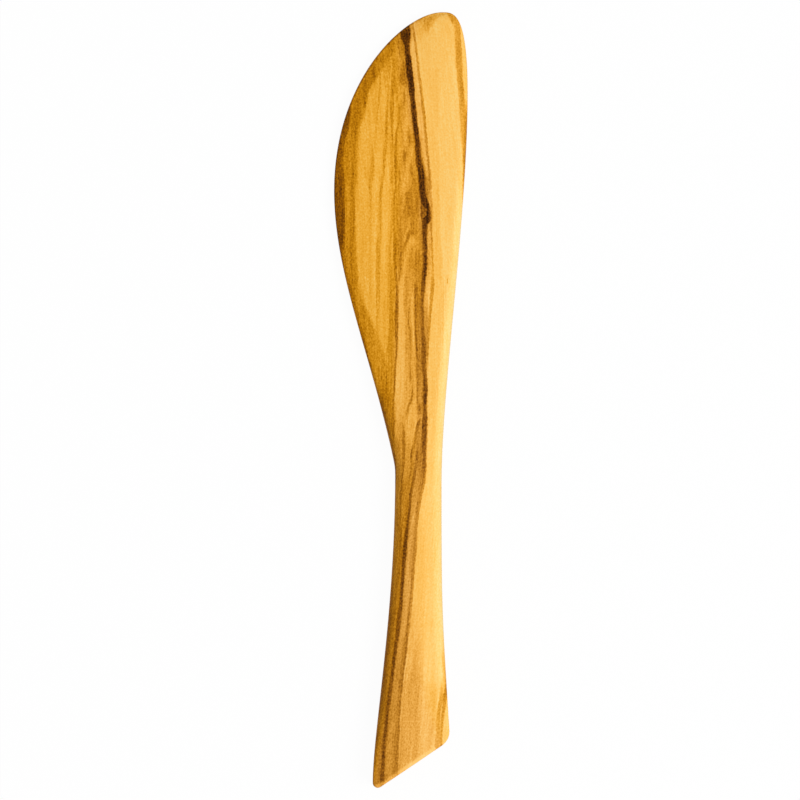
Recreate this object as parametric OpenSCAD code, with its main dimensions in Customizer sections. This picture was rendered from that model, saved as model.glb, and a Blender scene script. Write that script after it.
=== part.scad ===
// Butter knife carved from one piece of wood, lying on the flat of its side.
// +X points to the spine, +Y to the tip and +Z up. The origin is under the middle of the knife.

/* [Overall] */
// Length of the knife, from the tip to the lowest point of the heel
overall_l = 182; // [155:1:220]

/* [Blade outline] */
// Length of the blade, from the tip to the shoulder
blade_l = 107; // [88:0.5:128]
// Width of the blade, from the belly to the spine
blade_w = 31.4; // [26:0.1:38]
// Distance from the tip to the widest place of the belly
belly_at = 42; // [34:0.5:52]
// Reach of the spine from the middle line of the neck
spine_reach = 11.6; // [9:0.1:14]
// Distance from the tip to the furthest reach of the spine
spine_at = 18.9; // [14:0.1:24]
// Reach of the tip from the middle line of the neck
nose_reach = 5.6; // [4:0.1:7]
// Angle between the flank, below the belly, and the neck
flank_angle = 12; // [9:0.5:15]
// Radius of the shoulder, where the flank meets the neck
shoulder_r = 14; // [8:0.5:20]

/* [Handle outline] */
// Width of the neck
neck_w = 10.9; // [8:0.1:14]
// Distance from the tip to the narrowest place on the spine's side
neck_at = 111; // [90:1:135]
// Width of the heel, corner to corner before rounding
heel_w = 18.1; // [14:0.1:23]
// Sideways shift of the heel's middle, away from the spine
heel_shift = 1.65; // [0:0.05:3]
// Slant of the cut across the heel
heel_slant = 34; // [20:0.5:45]
// Flare of the spine's side where it meets the heel
heel_flare = 3.5; // [1:0.1:6]
// Radius of the heel's long corner
long_corner_r = 1.2; // [0.9:0.1:2.5]
// Radius of the heel's short corner
short_corner_r = 4; // [1:0.1:5]

/* [Thickness] */
// Thickness of the spine behind the tip
tip_t = 2.6; // [2:0.1:3.6]
// Thickness of the spine beside the belly
blade_t = 4; // [3.2:0.1:5.2]
// Thickness of the neck
neck_t = 6.2; // [4.8:0.1:8]
// Thickness of the heel
heel_t = 6.8; // [5.2:0.1:9]
// Thickness of the spreading edge
edge_t = 1.2; // [0.8:0.05:1.8]
// Width of the ground flank, in from the spreading edge
grind_w = 20; // [14:0.5:26]
// Length over which the grind runs out before the shoulder
runout_l = 34; // [24:1:46]
// Swell of each face in the middle, above its borders
crown_h = 0.35; // [0.2:0.01:0.6]
// Depth of the flat sanded on the underside
flat_depth = 0.2; // [0.1:0.01:0.3]

/* [Rounded borders] */
// Rounding of the spreading edge
edge_r = 0.5; // [0.3:0.05:0.8]
// Rounding of the spine
spine_r = 1.8; // [0.8:0.1:2.4]
// Rounding of the handle's long sides
side_r = 2.8; // [1:0.1:3.6]
// Rounding of the cut across the heel
heel_r = 0.7; // [0.3:0.05:0.85]
// Length over which the side rounding thins out before the heel
heel_fade = 20; // [10:1:28]

/* [Hidden] */
wood_colour = [0.93, 0.68, 0.32];

// How far each curve leans on its end tangents, as shares of the stretch that it spans
belly_top_share = 0.34;
belly_side_share = 0.63;
flank_share = 0.3;
flank_end_share = 0.4;
handle_share = 0.46;
handle_end_share = 0.16;
nose_share = 0.46;
spine_top_share = 1;
spine_share = 0.32;
neck_back_share = 0.25;
flare_share = 0.5;
// Largest rounding, as a share of half the thickness that it rounds
round_limit_share = 0.92;

// Rows of points from the tip to the heel, points across a face, and steps of a rounded border
rows = 76;
across = 10;
round_steps = 4;
// How much closer the rows stand at the tip and at the heel, where the outline turns
crowding_share = 0.8;
// Steps of one curve or corner of the drawn outline
curve_steps = 48;

// Places on the outline, each as [sideways from the neck's middle line, down from the tip]
belly_reach = blade_w - spine_reach;
middle_x = (spine_reach - belly_reach) / 2;
tip = [nose_reach, 0];
belly = [-belly_reach, belly_at];
spine = [spine_reach, spine_at];
neck_back = [neck_w / 2, neck_at];

// The shoulder is a corner rounded between the flank and the neck
flank_dir = [sin(flank_angle), cos(flank_angle)];
shoulder = [-neck_w / 2, blade_l];
shoulder_trim = shoulder_r * tan(flank_angle / 2);
shoulder_start = shoulder - shoulder_trim * flank_dir;
shoulder_end = shoulder + [0, shoulder_trim];
shoulder_centre = shoulder_end - [shoulder_r, 0];

// The heel is cut at a slant, and both its corners are rounded
cut_dir = [cos(heel_slant), -sin(heel_slant)];
cut_out = [sin(heel_slant), cos(heel_slant)];
long_reach = heel_w / 2 + heel_shift;
short_reach = heel_w / 2 - heel_shift;
long_centre = [long_corner_r - long_reach, overall_l - long_corner_r];
cut_start = long_centre + long_corner_r * cut_out;
short_corner = cut_start + cut_dir * (short_reach - cut_start.x) / cut_dir.x;
flare_dir = [sin(heel_flare), cos(heel_flare)];
short_turn = 90 - heel_slant + heel_flare;
short_start = short_corner - short_corner_r * tan(short_turn / 2) * flare_dir;
short_centre = short_start + short_corner_r * [-cos(heel_flare), sin(heel_flare)];

function mix(a, b, t) = a + (b - a) * t;
function ease(t) = let (c = min(1, max(0, t))) c * c * (3 - 2 * c);

// A cubic curve through its first and last point, without the last one
function curve(p) = [
    for (i = [0:curve_steps - 1])
        let (t = i / curve_steps, s = 1 - t)
            s * s * s * p[0] + 3 * s * s * t * p[1] + 3 * s * t * t * p[2] + t * t * t * p[3]
];
// An arc from one angle to another, without its last point
function arc(centre, r, from, to) = [
    for (i = [0:curve_steps - 1])
        let (a = mix(from, to, i / curve_steps)) centre + r * [cos(a), sin(a)]
];

// The belly's side, from the tip down to the end of the heel's long corner
function belly_side() =
    let (
        top_w = nose_reach + belly_reach,
        flank_l = blade_l - belly_at,
        handle_l = long_centre.y - shoulder_end.y,
        handle_end = [-long_reach, long_centre.y]
    ) concat(
        curve([tip, tip - [belly_top_share * top_w, 0], belly - [0, belly_side_share * belly_at], belly]),
        curve([belly, belly + [0, flank_share * flank_l],
               shoulder_start - flank_end_share * flank_l * flank_dir, shoulder_start]),
        arc(shoulder_centre, shoulder_r, -flank_angle, 0),
        curve([shoulder_end, shoulder_end + [0, handle_share * handle_l],
               handle_end - [0, handle_end_share * handle_l], handle_end]),
        arc(long_centre, long_corner_r, 180, 90 - heel_slant),
        [cut_start]
    );

// The spine's side, from the tip down to the end of the heel's short corner
function spine_side() =
    let (
        nose_w = spine_reach - nose_reach,
        spine_l = neck_at - spine_at,
        flare_l = short_start.y - neck_at
    ) concat(
        curve([tip, tip + [nose_share * nose_w, 0], spine - [0, spine_top_share * spine_at], spine]),
        curve([spine, spine + [0, spine_share * spine_l], neck_back - [0, neck_back_share * spine_l], neck_back]),
        curve([neck_back, neck_back + [0, flare_share * flare_l],
               short_start - flare_share * flare_l * flare_dir, short_start]),
        arc(short_centre, short_corner_r, -heel_flare, 90 - heel_slant),
        [short_centre + short_corner_r * cut_out]
    );

// Distance along a chain of points to each of them
function distances(p) = [
    for (i = 0, s = 0; i < len(p); s = s + norm(p[min(i + 1, len(p) - 1)] - p[i]), i = i + 1) s
];

// The points of a chain where the rows of the knife meet it
function row_ends(p) =
    let (
        s = distances(p),
        length = s[len(p) - 1],
        sideways = [for (i = [0:len(p) - 1]) [s[i], p[i].x]],
        down = [for (i = [0:len(p) - 1]) [s[i], p[i].y]]
    ) [
        for (i = [0:rows])
            let (t = i / rows, at = length * (t - crowding_share * sin(360 * t) / (2 * PI)))
                [lookup(at, sideways), lookup(at, down)]
    ];

left = row_ends(belly_side());
right = row_ends(spine_side());
row_w = [for (i = [0:rows]) norm(right[i] - left[i])];

// One closed loop of points round the outline: down the belly's side, along the heel and up the spine's side
loop = concat(
    left,
    [for (j = [1:across - 1]) mix(left[rows], right[rows], j / across)],
    [for (i = [rows:-1:1]) right[i]]
);
loop_n = len(loop);
function row_of(k) = k <= rows ? k : k < rows + across ? rows : loop_n - k;
function share_across(k) = k <= rows ? 0 : k < rows + across ? (k - rows) / across : 1;
inward = [
    for (k = [0:loop_n - 1])
        let (d = loop[(k + 1) % loop_n] - loop[(k + loop_n - 1) % loop_n]) [d.y, -d.x] / norm(d)
];

// A smooth curve through the points of a table, each as [place, value]
function slope(t, i) =
    let (a = t[max(i - 1, 0)], b = t[min(i + 1, len(t) - 1)]) (b[1] - a[1]) / (b[0] - a[0]);
function smooth(at, t, i = 0) =
    i < len(t) - 2 && at > t[i + 1][0] ? smooth(at, t, i + 1) :
    let (
        h = t[i + 1][0] - t[i][0],
        u = min(1, max(0, (at - t[i][0]) / h)),
        v = 1 - u
    ) t[i][1] * v * v * (1 + 2 * u) + t[i + 1][1] * u * u * (1 + 2 * v)
        + h * u * v * (slope(t, i) * v - slope(t, i + 1) * u);

// Thickness along the spine, and at any distance in from the spreading edge
function spine_t(down) =
    smooth(down, [[0, tip_t], [belly_at, blade_t], [neck_at, neck_t], [overall_l, heel_t]]);
function runout(down) = ease((down - blade_l + runout_l) / runout_l);
function ground_t(in, down) =
    let (full = spine_t(down), thin = mix(edge_t, full, runout(down)), flank = 1 - min(1, in / grind_w))
        full - (full - thin) * flank * flank;

// Thickness with the swell of both faces, at a share of a row's width
function face_t(share, in, down, width) =
    ground_t(in, down) + 2 * crown_h * (1 - pow(2 * share - 1, 2)) * ease(width / neck_w);

// Distance in from the spreading edge, for a point that lies a depth inside the loop
function in_from_edge(k, depth) =
    let (w = row_w[row_of(k)], share = share_across(k))
        share == 0 ? depth : share == 1 ? max(w - depth, depth) : share * w;

// Radius of the rounded border at each point of the loop, limited by the thickness there
function wanted_r(k) =
    let (down = loop[k].y)
        k > rows && k < rows + across ? heel_r :
        k <= rows ?
            mix(mix(edge_r, side_r, runout(down)), heel_r, ease((down - long_centre.y + heel_fade) / heel_fade)) :
            mix(smooth(down, [[0, edge_r], [spine_at, spine_r], [neck_at, side_r], [overall_l, side_r]]),
                heel_r, ease((down - short_start.y + heel_fade) / heel_fade));
border_r = [
    for (k = [0:loop_n - 1])
        min(wanted_r(k), round_limit_share / 2 * ground_t(in_from_edge(k, 0), loop[k].y))
];

// Height of the middle of the wood, and of either face above or below it
function middle_z(down) = spine_t(down) / 2 + crown_h - flat_depth;
function vertex(p, height) = [p.x - middle_x, overall_l / 2 - p.y, middle_z(p.y) + height];

// One ring of points round the knife: a side of 1 is the upper face and -1 the lower one
function ring(side, step) =
    let (angle = 90 * step / round_steps) [
        for (k = [0:loop_n - 1])
            let (
                r = border_r[k],
                depth = r * (1 - cos(angle)),
                p = loop[k] + depth * inward[k],
                share = share_across(k),
                t = face_t(share, in_from_edge(k, depth), p.y, row_w[row_of(k)])
            ) vertex(p, side * (t / 2 - r * (1 - sin(angle))))
    ];

// The points of a face inside its rounded border
function face_points(side) = [
    for (i = [1:rows - 1]) for (j = [1:across - 1])
        let (
            k = loop_n - i,
            share = j / across,
            a = left[i] + border_r[i] * inward[i],
            b = right[i] + border_r[k] * inward[k],
            in = mix(in_from_edge(i, border_r[i]), in_from_edge(k, border_r[k]), share),
            p = mix(a, b, share)
        ) vertex(p, side * face_t(share, in, p.y, row_w[i]) / 2)
];

// Places of the points in the list that the solid is made from
ring_count = 2 * (round_steps + 1);
upper_first = ring_count * loop_n;
lower_first = upper_first + (rows - 1) * (across - 1);
function border_index(i, j) =
    i == 0 ? 0 : j == 0 ? i : j == across ? loop_n - i : i == rows ? rows + j : undef;
function face_index(i, j, ring_no, first) =
    let (k = border_index(i, j)) is_undef(k) ? first + (i - 1) * (across - 1) + j - 1 : ring_no * loop_n + k;

// Two triangles on four corners, given clockwise from outside
function two_triangles(q) = [[q[0], q[1], q[2]], [q[0], q[2], q[3]]];
function flipped(t) = [t[2], t[1], t[0]];
function border_triangles() = [
    for (g = [0:ring_count - 2]) for (k = [0:loop_n - 1])
        let (a = g * loop_n, n = (k + 1) % loop_n)
            for (t = two_triangles([a + k, a + loop_n + k, a + loop_n + n, a + n])) t
];
function face_triangles(ring_no, first) = concat(
    [for (j = [0:across - 1])
        [face_index(0, j, ring_no, first), face_index(1, j + 1, ring_no, first), face_index(1, j, ring_no, first)]],
    [for (i = [1:rows - 1]) for (j = [0:across - 1])
        for (t = two_triangles([for (c = [[i, j], [i, j + 1], [i + 1, j + 1], [i + 1, j]])
            face_index(c[0], c[1], ring_no, first)])) t]
);

// The carved body, swelling on both faces
module carved_body() {
    polyhedron(
        points = concat(
            [for (step = [round_steps:-1:0]) for (p = ring(-1, step)) p],
            [for (step = [0:round_steps]) for (p = ring(1, step)) p],
            face_points(1),
            face_points(-1)
        ),
        faces = concat(
            border_triangles(),
            face_triangles(ring_count - 1, upper_first),
            [for (t = face_triangles(0, lower_first)) flipped(t)]
        )
    );
}

// The knife: the carved body with its underside sanded flat, so that it lies still
module knife() {
    color(wood_colour)
        difference() {
            carved_body();
            translate([-blade_w, -overall_l, -heel_t]) cube([2 * blade_w, 2 * overall_l, heel_t]);
        }
}

knife();
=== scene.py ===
"""Looks of a butter knife carved from one piece of olive wood.

The shape is a Geometry Nodes tree that follows the rule of the solid with a finer mesh. The
finish is a procedural wood: its streaks are drawn one by one over plain sapwood, a fine fibre
crosses them, and all of it runs through the thickness to the sides, the heel and the underside.
A few of the streaks are painted highlights and painted shade along the edges.
The tip points to +Y, the straight spine faces +X, and the knife lies on z = 0.
"""

from __future__ import annotations

import logging
import math
from dataclasses import dataclass, fields
from enum import Enum
from types import SimpleNamespace
from typing import Any, Sequence, Union

import bpy
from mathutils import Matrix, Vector


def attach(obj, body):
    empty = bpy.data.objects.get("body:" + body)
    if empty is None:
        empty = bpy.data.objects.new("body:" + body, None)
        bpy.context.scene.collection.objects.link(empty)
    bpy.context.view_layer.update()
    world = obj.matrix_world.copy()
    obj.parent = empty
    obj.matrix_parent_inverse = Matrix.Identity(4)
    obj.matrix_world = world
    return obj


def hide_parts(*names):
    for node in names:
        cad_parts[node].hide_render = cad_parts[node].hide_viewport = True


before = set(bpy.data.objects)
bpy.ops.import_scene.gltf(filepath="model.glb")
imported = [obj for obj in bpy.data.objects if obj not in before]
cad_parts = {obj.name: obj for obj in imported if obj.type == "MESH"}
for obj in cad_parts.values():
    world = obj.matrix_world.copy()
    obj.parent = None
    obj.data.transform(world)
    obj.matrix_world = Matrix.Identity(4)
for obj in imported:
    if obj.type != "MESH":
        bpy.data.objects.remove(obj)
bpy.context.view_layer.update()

MM = 0.001
WHITE = (1.0, 1.0, 1.0, 1.0)
LOG = logging.getLogger("butter_knife")


class Flow(Enum):
    """Ways in which a range passes from one end to the other."""

    EVEN = "LINEAR"
    SMOOTH = "SMOOTHSTEP"


class Term:
    """A value or a vector in a node tree, on which Python's arithmetic adds the nodes."""

    def __init__(self, graph: Graph, socket: bpy.types.NodeSocket) -> None:
        """Wraps one output socket of a graph's node."""
        self.graph = graph
        self.socket = socket

    @property
    def is_vector(self) -> bool:
        """Whether the socket carries three numbers."""
        return self.socket.type in {"VECTOR", "RGBA"}

    def out(self, key: Union[str, int]) -> Term:
        """Another output of the same node."""
        return Term(self.graph, self.socket.node.outputs[key])

    def _math(self, operation: str, *values: Any) -> Term:
        """A Math or Vector Math node on some values, after the kind of the first vector among them.

        Args:
            operation: The node's operation.
            values: Its inputs in order, as terms, numbers or vectors.

        Returns:
            The node's result.
        """
        vectors = any(isinstance(v, Vector) or (isinstance(v, Term) and v.is_vector) for v in values)
        kind = "ShaderNodeVectorMath" if vectors else "ShaderNodeMath"
        return self.graph.node(kind, {"operation": operation}, dict(enumerate(values)))

    def _scaled(self, by: Any) -> Term:
        """This vector times a number."""
        sockets = {"Vector": self, "Scale": by}
        return self.graph.node("ShaderNodeVectorMath", {"operation": "SCALE"}, sockets)

    def __add__(self, other: Any) -> Term:
        """This plus another."""
        return self._math("ADD", self, other)

    def __radd__(self, other: Any) -> Term:
        """Another plus this."""
        return self._math("ADD", other, self)

    def __sub__(self, other: Any) -> Term:
        """This minus another."""
        return self._math("SUBTRACT", self, other)

    def __rsub__(self, other: Any) -> Term:
        """Another minus this."""
        return self._math("SUBTRACT", other, self)

    def __mul__(self, other: Any) -> Term:
        """This times another, or a vector scaled by a number.

        Args:
            other: A term, a vector or a number.

        Returns:
            The product.
        """
        plain = not isinstance(other, Vector) and not (isinstance(other, Term) and other.is_vector)
        if self.is_vector and plain:
            return self._scaled(other)
        if isinstance(other, Term) and other.is_vector and not self.is_vector:
            return other._scaled(self)
        return self._math("MULTIPLY", self, other)

    __rmul__ = __mul__

    def __truediv__(self, other: Any) -> Term:
        """This divided by another value."""
        return self._scaled(1 / other) if self.is_vector else self._math("DIVIDE", self, other)

    def __rtruediv__(self, other: Any) -> Term:
        """Another value divided by this."""
        return self._math("DIVIDE", other, self)

    def __pow__(self, other: Any) -> Term:
        """This raised to a power."""
        return self._math("POWER", self, other)

    def __neg__(self) -> Term:
        """This turned negative."""
        return self * -1

    def __abs__(self) -> Term:
        """This without its sign."""
        return self._math("ABSOLUTE", self)

    def sin(self) -> Term:
        """Sine of an angle in radians."""
        return self._math("SINE", self)

    def cos(self) -> Term:
        """Cosine of an angle in radians."""
        return self._math("COSINE", self)

    def tan(self) -> Term:
        """Tangent of an angle in radians."""
        return self._math("TANGENT", self)

    def min(self, other: Any) -> Term:
        """The lesser of this and another."""
        return self._math("MINIMUM", self, other)

    def max(self, other: Any) -> Term:
        """The greater of this and another."""
        return self._math("MAXIMUM", self, other)

    def length(self) -> Term:
        """Length of this vector."""
        node = self.graph.node("ShaderNodeVectorMath", {"operation": "LENGTH"}, {0: self})
        return node.out("Value")

    def parts(self) -> tuple[Term, Term, Term]:
        """The three numbers of this vector."""
        split = self.graph.node("ShaderNodeSeparateXYZ", {}, {0: self})
        return split, split.out(1), split.out(2)

    def span(self, low: Any, high: Any, start: Any = 0.0, end: Any = 1.0, flow: Flow = Flow.EVEN) -> Term:
        """This value carried from one range to another, and held at its ends.

        Args:
            low: Value at which the result starts.
            high: Value at which the result ends.
            start: Result at low.
            end: Result at high.
            flow: How the result passes between the two.

        Returns:
            The value in the new range.
        """
        ranges = {"Value": self, "From Min": low, "From Max": high, "To Min": start, "To Max": end}
        # A smooth passage holds its ends by itself, and a clamp would add a node to Cycles' graph.
        settings = {"interpolation_type": flow.value, "clamp": flow is Flow.EVEN}
        return self.graph.node("ShaderNodeMapRange", settings, ranges)

    def ease(self) -> Term:
        """This value held between 0 and 1, and passing smoothly between them."""
        return self.span(0.0, 1.0, flow=Flow.SMOOTH)

    def toward(self, other: Any, share: Any) -> Term:
        """A point on the way from this to another.

        Args:
            other: The value or vector at a share of 1.
            share: How far along the way.

        Returns:
            The value or vector there.
        """
        return self + (other - self) * share


class Graph:
    """Adds nodes to one node tree, for shapes and finishes alike."""

    def __init__(self, tree: bpy.types.NodeTree) -> None:
        """Starts on an empty node tree."""
        self.tree = tree

    def node(self, kind: str, settings: dict[str, Any], sockets: dict[Union[str, int], Any]) -> Term:
        """Adds one node of any type.

        Args:
            kind: The node's type.
            settings: Its properties, which are set first, with a ramp's stops or curves' points.
            sockets: Values or links of its inputs, by name or by place.

        Returns:
            The node's first output that is in use.
        """
        node = self.tree.nodes.new(kind)
        for name, value in settings.items():
            if name == "stops":
                self._set_stops(node.color_ramp, value)
            elif name == "curves":
                self._set_curves(node.mapping, value)
            else:
                setattr(node, name, value)
        for key, value in sockets.items():
            for single in value if isinstance(value, list) else [value]:
                if isinstance(single, Term):
                    self.tree.links.new(single.socket, node.inputs[key])
                else:
                    node.inputs[key].default_value = single
        shown = [socket for socket in node.outputs if socket.enabled] or [None]
        return Term(self, shown[0])

    @staticmethod
    def _set_stops(ramp: bpy.types.ColorRamp, stops: Sequence[tuple[float, tuple[float, ...]]]) -> None:
        """Gives a ramp its stops.

        Args:
            ramp: The ramp of a Color Ramp node.
            stops: Each stop's place and colour, in order.
        """
        while len(ramp.elements) < len(stops):
            ramp.elements.new(1.0)
        for element, (place, tint) in zip(ramp.elements, stops):
            element.position = place
            element.color = tint

    @staticmethod
    def _set_curves(
        mapping: bpy.types.CurveMapping, curves: Sequence[Sequence[tuple[float, float]]]
    ) -> None:
        """Gives a Curves node the points of its first curves.

        Args:
            mapping: The node's curves.
            curves: For each curve its points, in order.
        """
        mapping.extend = "HORIZONTAL"
        for curve, points in zip(mapping.curves, curves):
            while len(curve.points) < len(points):
                curve.points.new(1.0, 1.0)
            for point, place in zip(curve.points, points):
                point.location = place
                point.handle_type = "AUTO_CLAMPED"
        mapping.update()

    def vector(self, x: Any, y: Any, z: Any = 0.0) -> Term:
        """A vector from three values."""
        return self.node("ShaderNodeCombineXYZ", {}, {0: x, 1: y, 2: z})

    def mix(self, share: Any, low: Any, high: Any) -> Term:
        """A colour between two others.

        Args:
            share: How much of the second colour there is.
            low: The first colour.
            high: The second colour.

        Returns:
            The mixed colour.
        """
        return self.node("ShaderNodeMix", {"data_type": "RGBA"}, {0: share, 6: low, 7: high}).out(2)


@dataclass(frozen=True)
class KnifeSizes:
    """Sizes of the knife in millimetres and degrees, the inputs of its Geometry Nodes tree."""

    overall_length: float = 182.0
    blade_length: float = 107.0
    blade_width: float = 31.4
    belly_place: float = 42.0
    spine_reach: float = 11.6
    spine_place: float = 18.9
    nose_reach: float = 5.6
    flank_angle: float = 12.0
    shoulder_radius: float = 14.0
    neck_width: float = 10.9
    neck_place: float = 111.0
    heel_width: float = 18.1
    heel_shift: float = 1.65
    heel_slant: float = 34.0
    heel_flare: float = 3.5
    long_corner_radius: float = 1.2
    short_corner_radius: float = 4.0
    tip_thickness: float = 2.6
    blade_thickness: float = 4.0
    neck_thickness: float = 6.2
    heel_thickness: float = 6.8
    edge_thickness: float = 1.2
    grind_width: float = 20.0
    runout_length: float = 34.0
    crown_height: float = 0.35
    flat_depth: float = 0.2
    edge_rounding: float = 0.5
    spine_rounding: float = 1.8
    side_rounding: float = 2.8
    heel_rounding: float = 0.7
    heel_fade: float = 20.0


@dataclass(frozen=True)
class MeshSteps:
    """How finely the knife's mesh is divided."""

    rows: int = 300
    across: int = 36
    border: int = 20
    curve: int = 96


@dataclass(frozen=True)
class Leans:
    """How far each curve of the outline leans on its end tangents, as shares of its stretch."""

    belly_top: float = 0.34
    belly_side: float = 0.63
    flank: float = 0.3
    flank_end: float = 0.4
    handle: float = 0.46
    handle_end: float = 0.16
    nose: float = 0.46
    spine_top: float = 1.0
    spine: float = 0.32
    neck_back: float = 0.25
    flare: float = 0.5


@dataclass(frozen=True)
class Outline:
    """Both sides of the outline, from the tip down to the cut, and where the heel's corners start."""

    belly_side: Term
    spine_side: Term
    long_y: Term
    short_y: Term


class KnifeBody:
    """The carved body: an outline sampled row by row, with ground and crowned faces between its sides."""

    # How strongly the rows crowd towards the tip and the heel, from 0 to 1.
    CROWDING = 0.8
    # Share of the thickness that the two rounded borders of an edge may take.
    ROUND_LIMIT = 0.92
    # Share of a border's height that stands upright between its two roundings.
    WALL_SHARE = 0.12
    # Points that are closer than this are welded, in millimetres.
    WELD = 0.001
    # A cubic curve follows an arc when its handles are as long as the radius times the tangent of
    # a quarter of the turn, times this.
    ARC_LEAN = 4 / 3
    STATION = "station"

    def __init__(self, sizes: KnifeSizes, steps: MeshSteps, leans: Leans) -> None:
        """Takes the sizes and opens an empty Geometry Nodes tree with an input for each.

        Args:
            sizes: Sizes of the knife.
            steps: How finely the mesh is divided.
            leans: How the curves of the outline lean.
        """
        self.sizes, self.steps, self.leans = sizes, steps, leans
        self.tree = bpy.data.node_groups.new("knife_shape", "GeometryNodeTree")
        self.graph = Graph(self.tree)
        for field in fields(sizes):
            label = field.name.replace("_", " ").capitalize()
            socket = self.tree.interface.new_socket(label, in_out="INPUT", socket_type="NodeSocketFloat")
            socket.default_value = getattr(sizes, field.name)
        self.tree.interface.new_socket("Geometry", in_out="OUTPUT", socket_type="NodeSocketGeometry")
        first = self.graph.node("NodeGroupInput", {}, {})
        self.size = SimpleNamespace(**{f.name: first.out(i) for i, f in enumerate(fields(sizes))})

    def build(self, name: str, finish: bpy.types.Material) -> bpy.types.Object:
        """Makes the knife as a plain mesh in the row frame.

        Args:
            name: Name of the piece.
            finish: Material of the piece.

        Returns:
            The piece, at the origin and without modifiers.
        """
        self._finish_tree(finish)
        piece = bpy.data.objects.new(name, bpy.data.meshes.new(name))
        bpy.context.scene.collection.objects.link(piece)
        modifier = piece.modifiers.new("shape", "NODES")
        modifier.node_group = self.tree
        inputs = [item for item in self.tree.interface.items_tree if item.in_out == "INPUT"]
        for item, field in zip(inputs, fields(self.sizes)):
            modifier[item.identifier] = getattr(self.sizes, field.name)
        shaped = piece.evaluated_get(bpy.context.evaluated_depsgraph_get())
        mesh = bpy.data.meshes.new_from_object(shaped)
        piece.modifiers.remove(modifier)
        # The piece's own empty slot stands in front of the one that the tree sets.
        mesh.materials.pop(index=0)
        piece.data = mesh
        mesh.name = name
        return piece

    def _finish_tree(self, finish: bpy.types.Material) -> None:
        """Joins both grids, puts every point in place and closes the seams.

        Args:
            finish: Material that the tree sets.
        """
        graph = self.graph
        grids = graph.node("GeometryNodeJoinGeometry", {}, {0: [self._side_grid(), self._heel_grid()]})
        placed = graph.node("GeometryNodeSetPosition", {}, {"Geometry": grids, "Position": self._place()})
        clean = graph.node("GeometryNodeRemoveAttribute", {}, {"Geometry": placed, "Name": self.STATION})
        seams = {"Geometry": clean, "Distance": self.WELD * MM}
        closed = graph.node("GeometryNodeMergeByDistance", {}, seams)
        smooth = graph.node("GeometryNodeSetShadeSmooth", {}, {"Geometry": closed})
        real = graph.node("GeometryNodeRealizeInstances", {}, {0: smooth})
        dressed = graph.node("GeometryNodeSetMaterial", {}, {"Geometry": real, "Material": finish})
        graph.node("NodeGroupOutput", {}, {0: dressed})

    def _grid(self, first: int, second: int) -> tuple[Term, Term, Term]:
        """A unit grid.

        Args:
            first: Its steps along the first side.
            second: Its steps along the second side.

        Returns:
            The grid, and each point's shares along both sides.
        """
        graph = self.graph
        counts = {"Size X": 1.0, "Size Y": 1.0, "Vertices X": first + 1, "Vertices Y": second + 1}
        grid = graph.node("GeometryNodeMeshGrid", {}, counts)
        x, y, _ = graph.node("GeometryNodeInputPosition", {}, {}).parts()
        return grid, x + 0.5, y + 0.5

    def _marked(self, grid: Term, down: Any, share: Any, level: Any) -> Term:
        """A grid whose points remember their stations.

        Args:
            grid: The grid.
            down: Share of the way down the outline.
            share: Share of the way across from the spreading edge to the spine.
            level: Place round the border, from -1 on the lower face to 1 on the upper one.

        Returns:
            The grid with the station of each point.
        """
        station = self.graph.vector(down, share, level)
        sockets = {"Geometry": grid, "Name": self.STATION, "Value": station}
        return self.graph.node(
            "GeometryNodeStoreNamedAttribute", {"data_type": "FLOAT_VECTOR", "domain": "POINT"}, sockets
        )

    def _side_grid(self) -> Term:
        """The grid that goes round the knife: upper face, spine, lower face and spreading edge.

        Returns:
            The grid with the station of each point.
        """
        across, border = self.steps.across, self.steps.border
        loop = 2 * (across + border)
        grid, down, round_share = self._grid(self.steps.rows, loop)
        column = round_share * loop
        over = column.span(0.0, across)
        back = column.span(across + border, 2 * across + border)
        fall = column.span(across, across + border)
        rise = column.span(2 * across + border, loop)
        return self._marked(grid, down, over - back, 1 - fall * 2 + rise * 2)

    def _heel_grid(self) -> Term:
        """The grid that closes the cut across the heel."""
        grid, share, height = self._grid(self.steps.across, self.steps.border)
        return self._marked(grid, 1.0, share, height * 2 - 1)

    def _curve(self, *points: Term) -> Term:
        """A cubic curve.

        Args:
            points: Its start, the two handles and its end, in order.

        Returns:
            The curve.
        """
        names = ("Start", "Start Handle", "End Handle", "End")
        sockets = {"Resolution": self.steps.curve, **dict(zip(names, points))}
        return self.graph.node("GeometryNodeCurvePrimitiveBezierSegment", {"mode": "POSITION"}, sockets)

    def _corner(self, centre: Term, radius: Term, start: Any, turn: Term) -> Term:
        """A round corner, drawn as one cubic curve.

        Args:
            centre: Centre of the corner.
            radius: Its radius.
            start: Angle of its first point, in radians.
            turn: How far it turns, in radians.

        Returns:
            The curve.
        """
        graph = self.graph
        lean = radius * (turn / 4).tan() * self.ARC_LEAN
        end = turn + start
        first = centre + graph.vector(cosine(start), sine(start)) * radius
        last = centre + graph.vector(end.cos(), end.sin()) * radius
        return self._curve(
            first,
            first + graph.vector(-sine(start), cosine(start)) * lean,
            last - graph.vector(-end.sin(), end.cos()) * lean,
            last,
        )

    def _outline(self) -> Outline:
        """The two sides of the outline, each from the tip down to the cut across the heel.

        Returns:
            The outline, in a frame that starts at the tip's height on the neck's middle line,
            with x to the spine and y down the knife.
        """
        size, lean, at = self.size, self.leans, self.graph.vector
        belly_reach = size.blade_width - size.spine_reach
        tip = at(size.nose_reach, 0.0)
        belly = at(-belly_reach, size.belly_place)
        spine = at(size.spine_reach, size.spine_place)
        neck_back = at(size.neck_width / 2, size.neck_place)

        flank = radians(size.flank_angle)
        flank_dir = at(flank.sin(), flank.cos())
        trim = size.shoulder_radius * (flank / 2).tan()
        shoulder = at(size.neck_width / -2, size.blade_length)
        shoulder_start = shoulder - flank_dir * trim
        shoulder_end = shoulder + at(0.0, trim)
        shoulder_centre = shoulder_end - at(size.shoulder_radius, 0.0)

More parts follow.
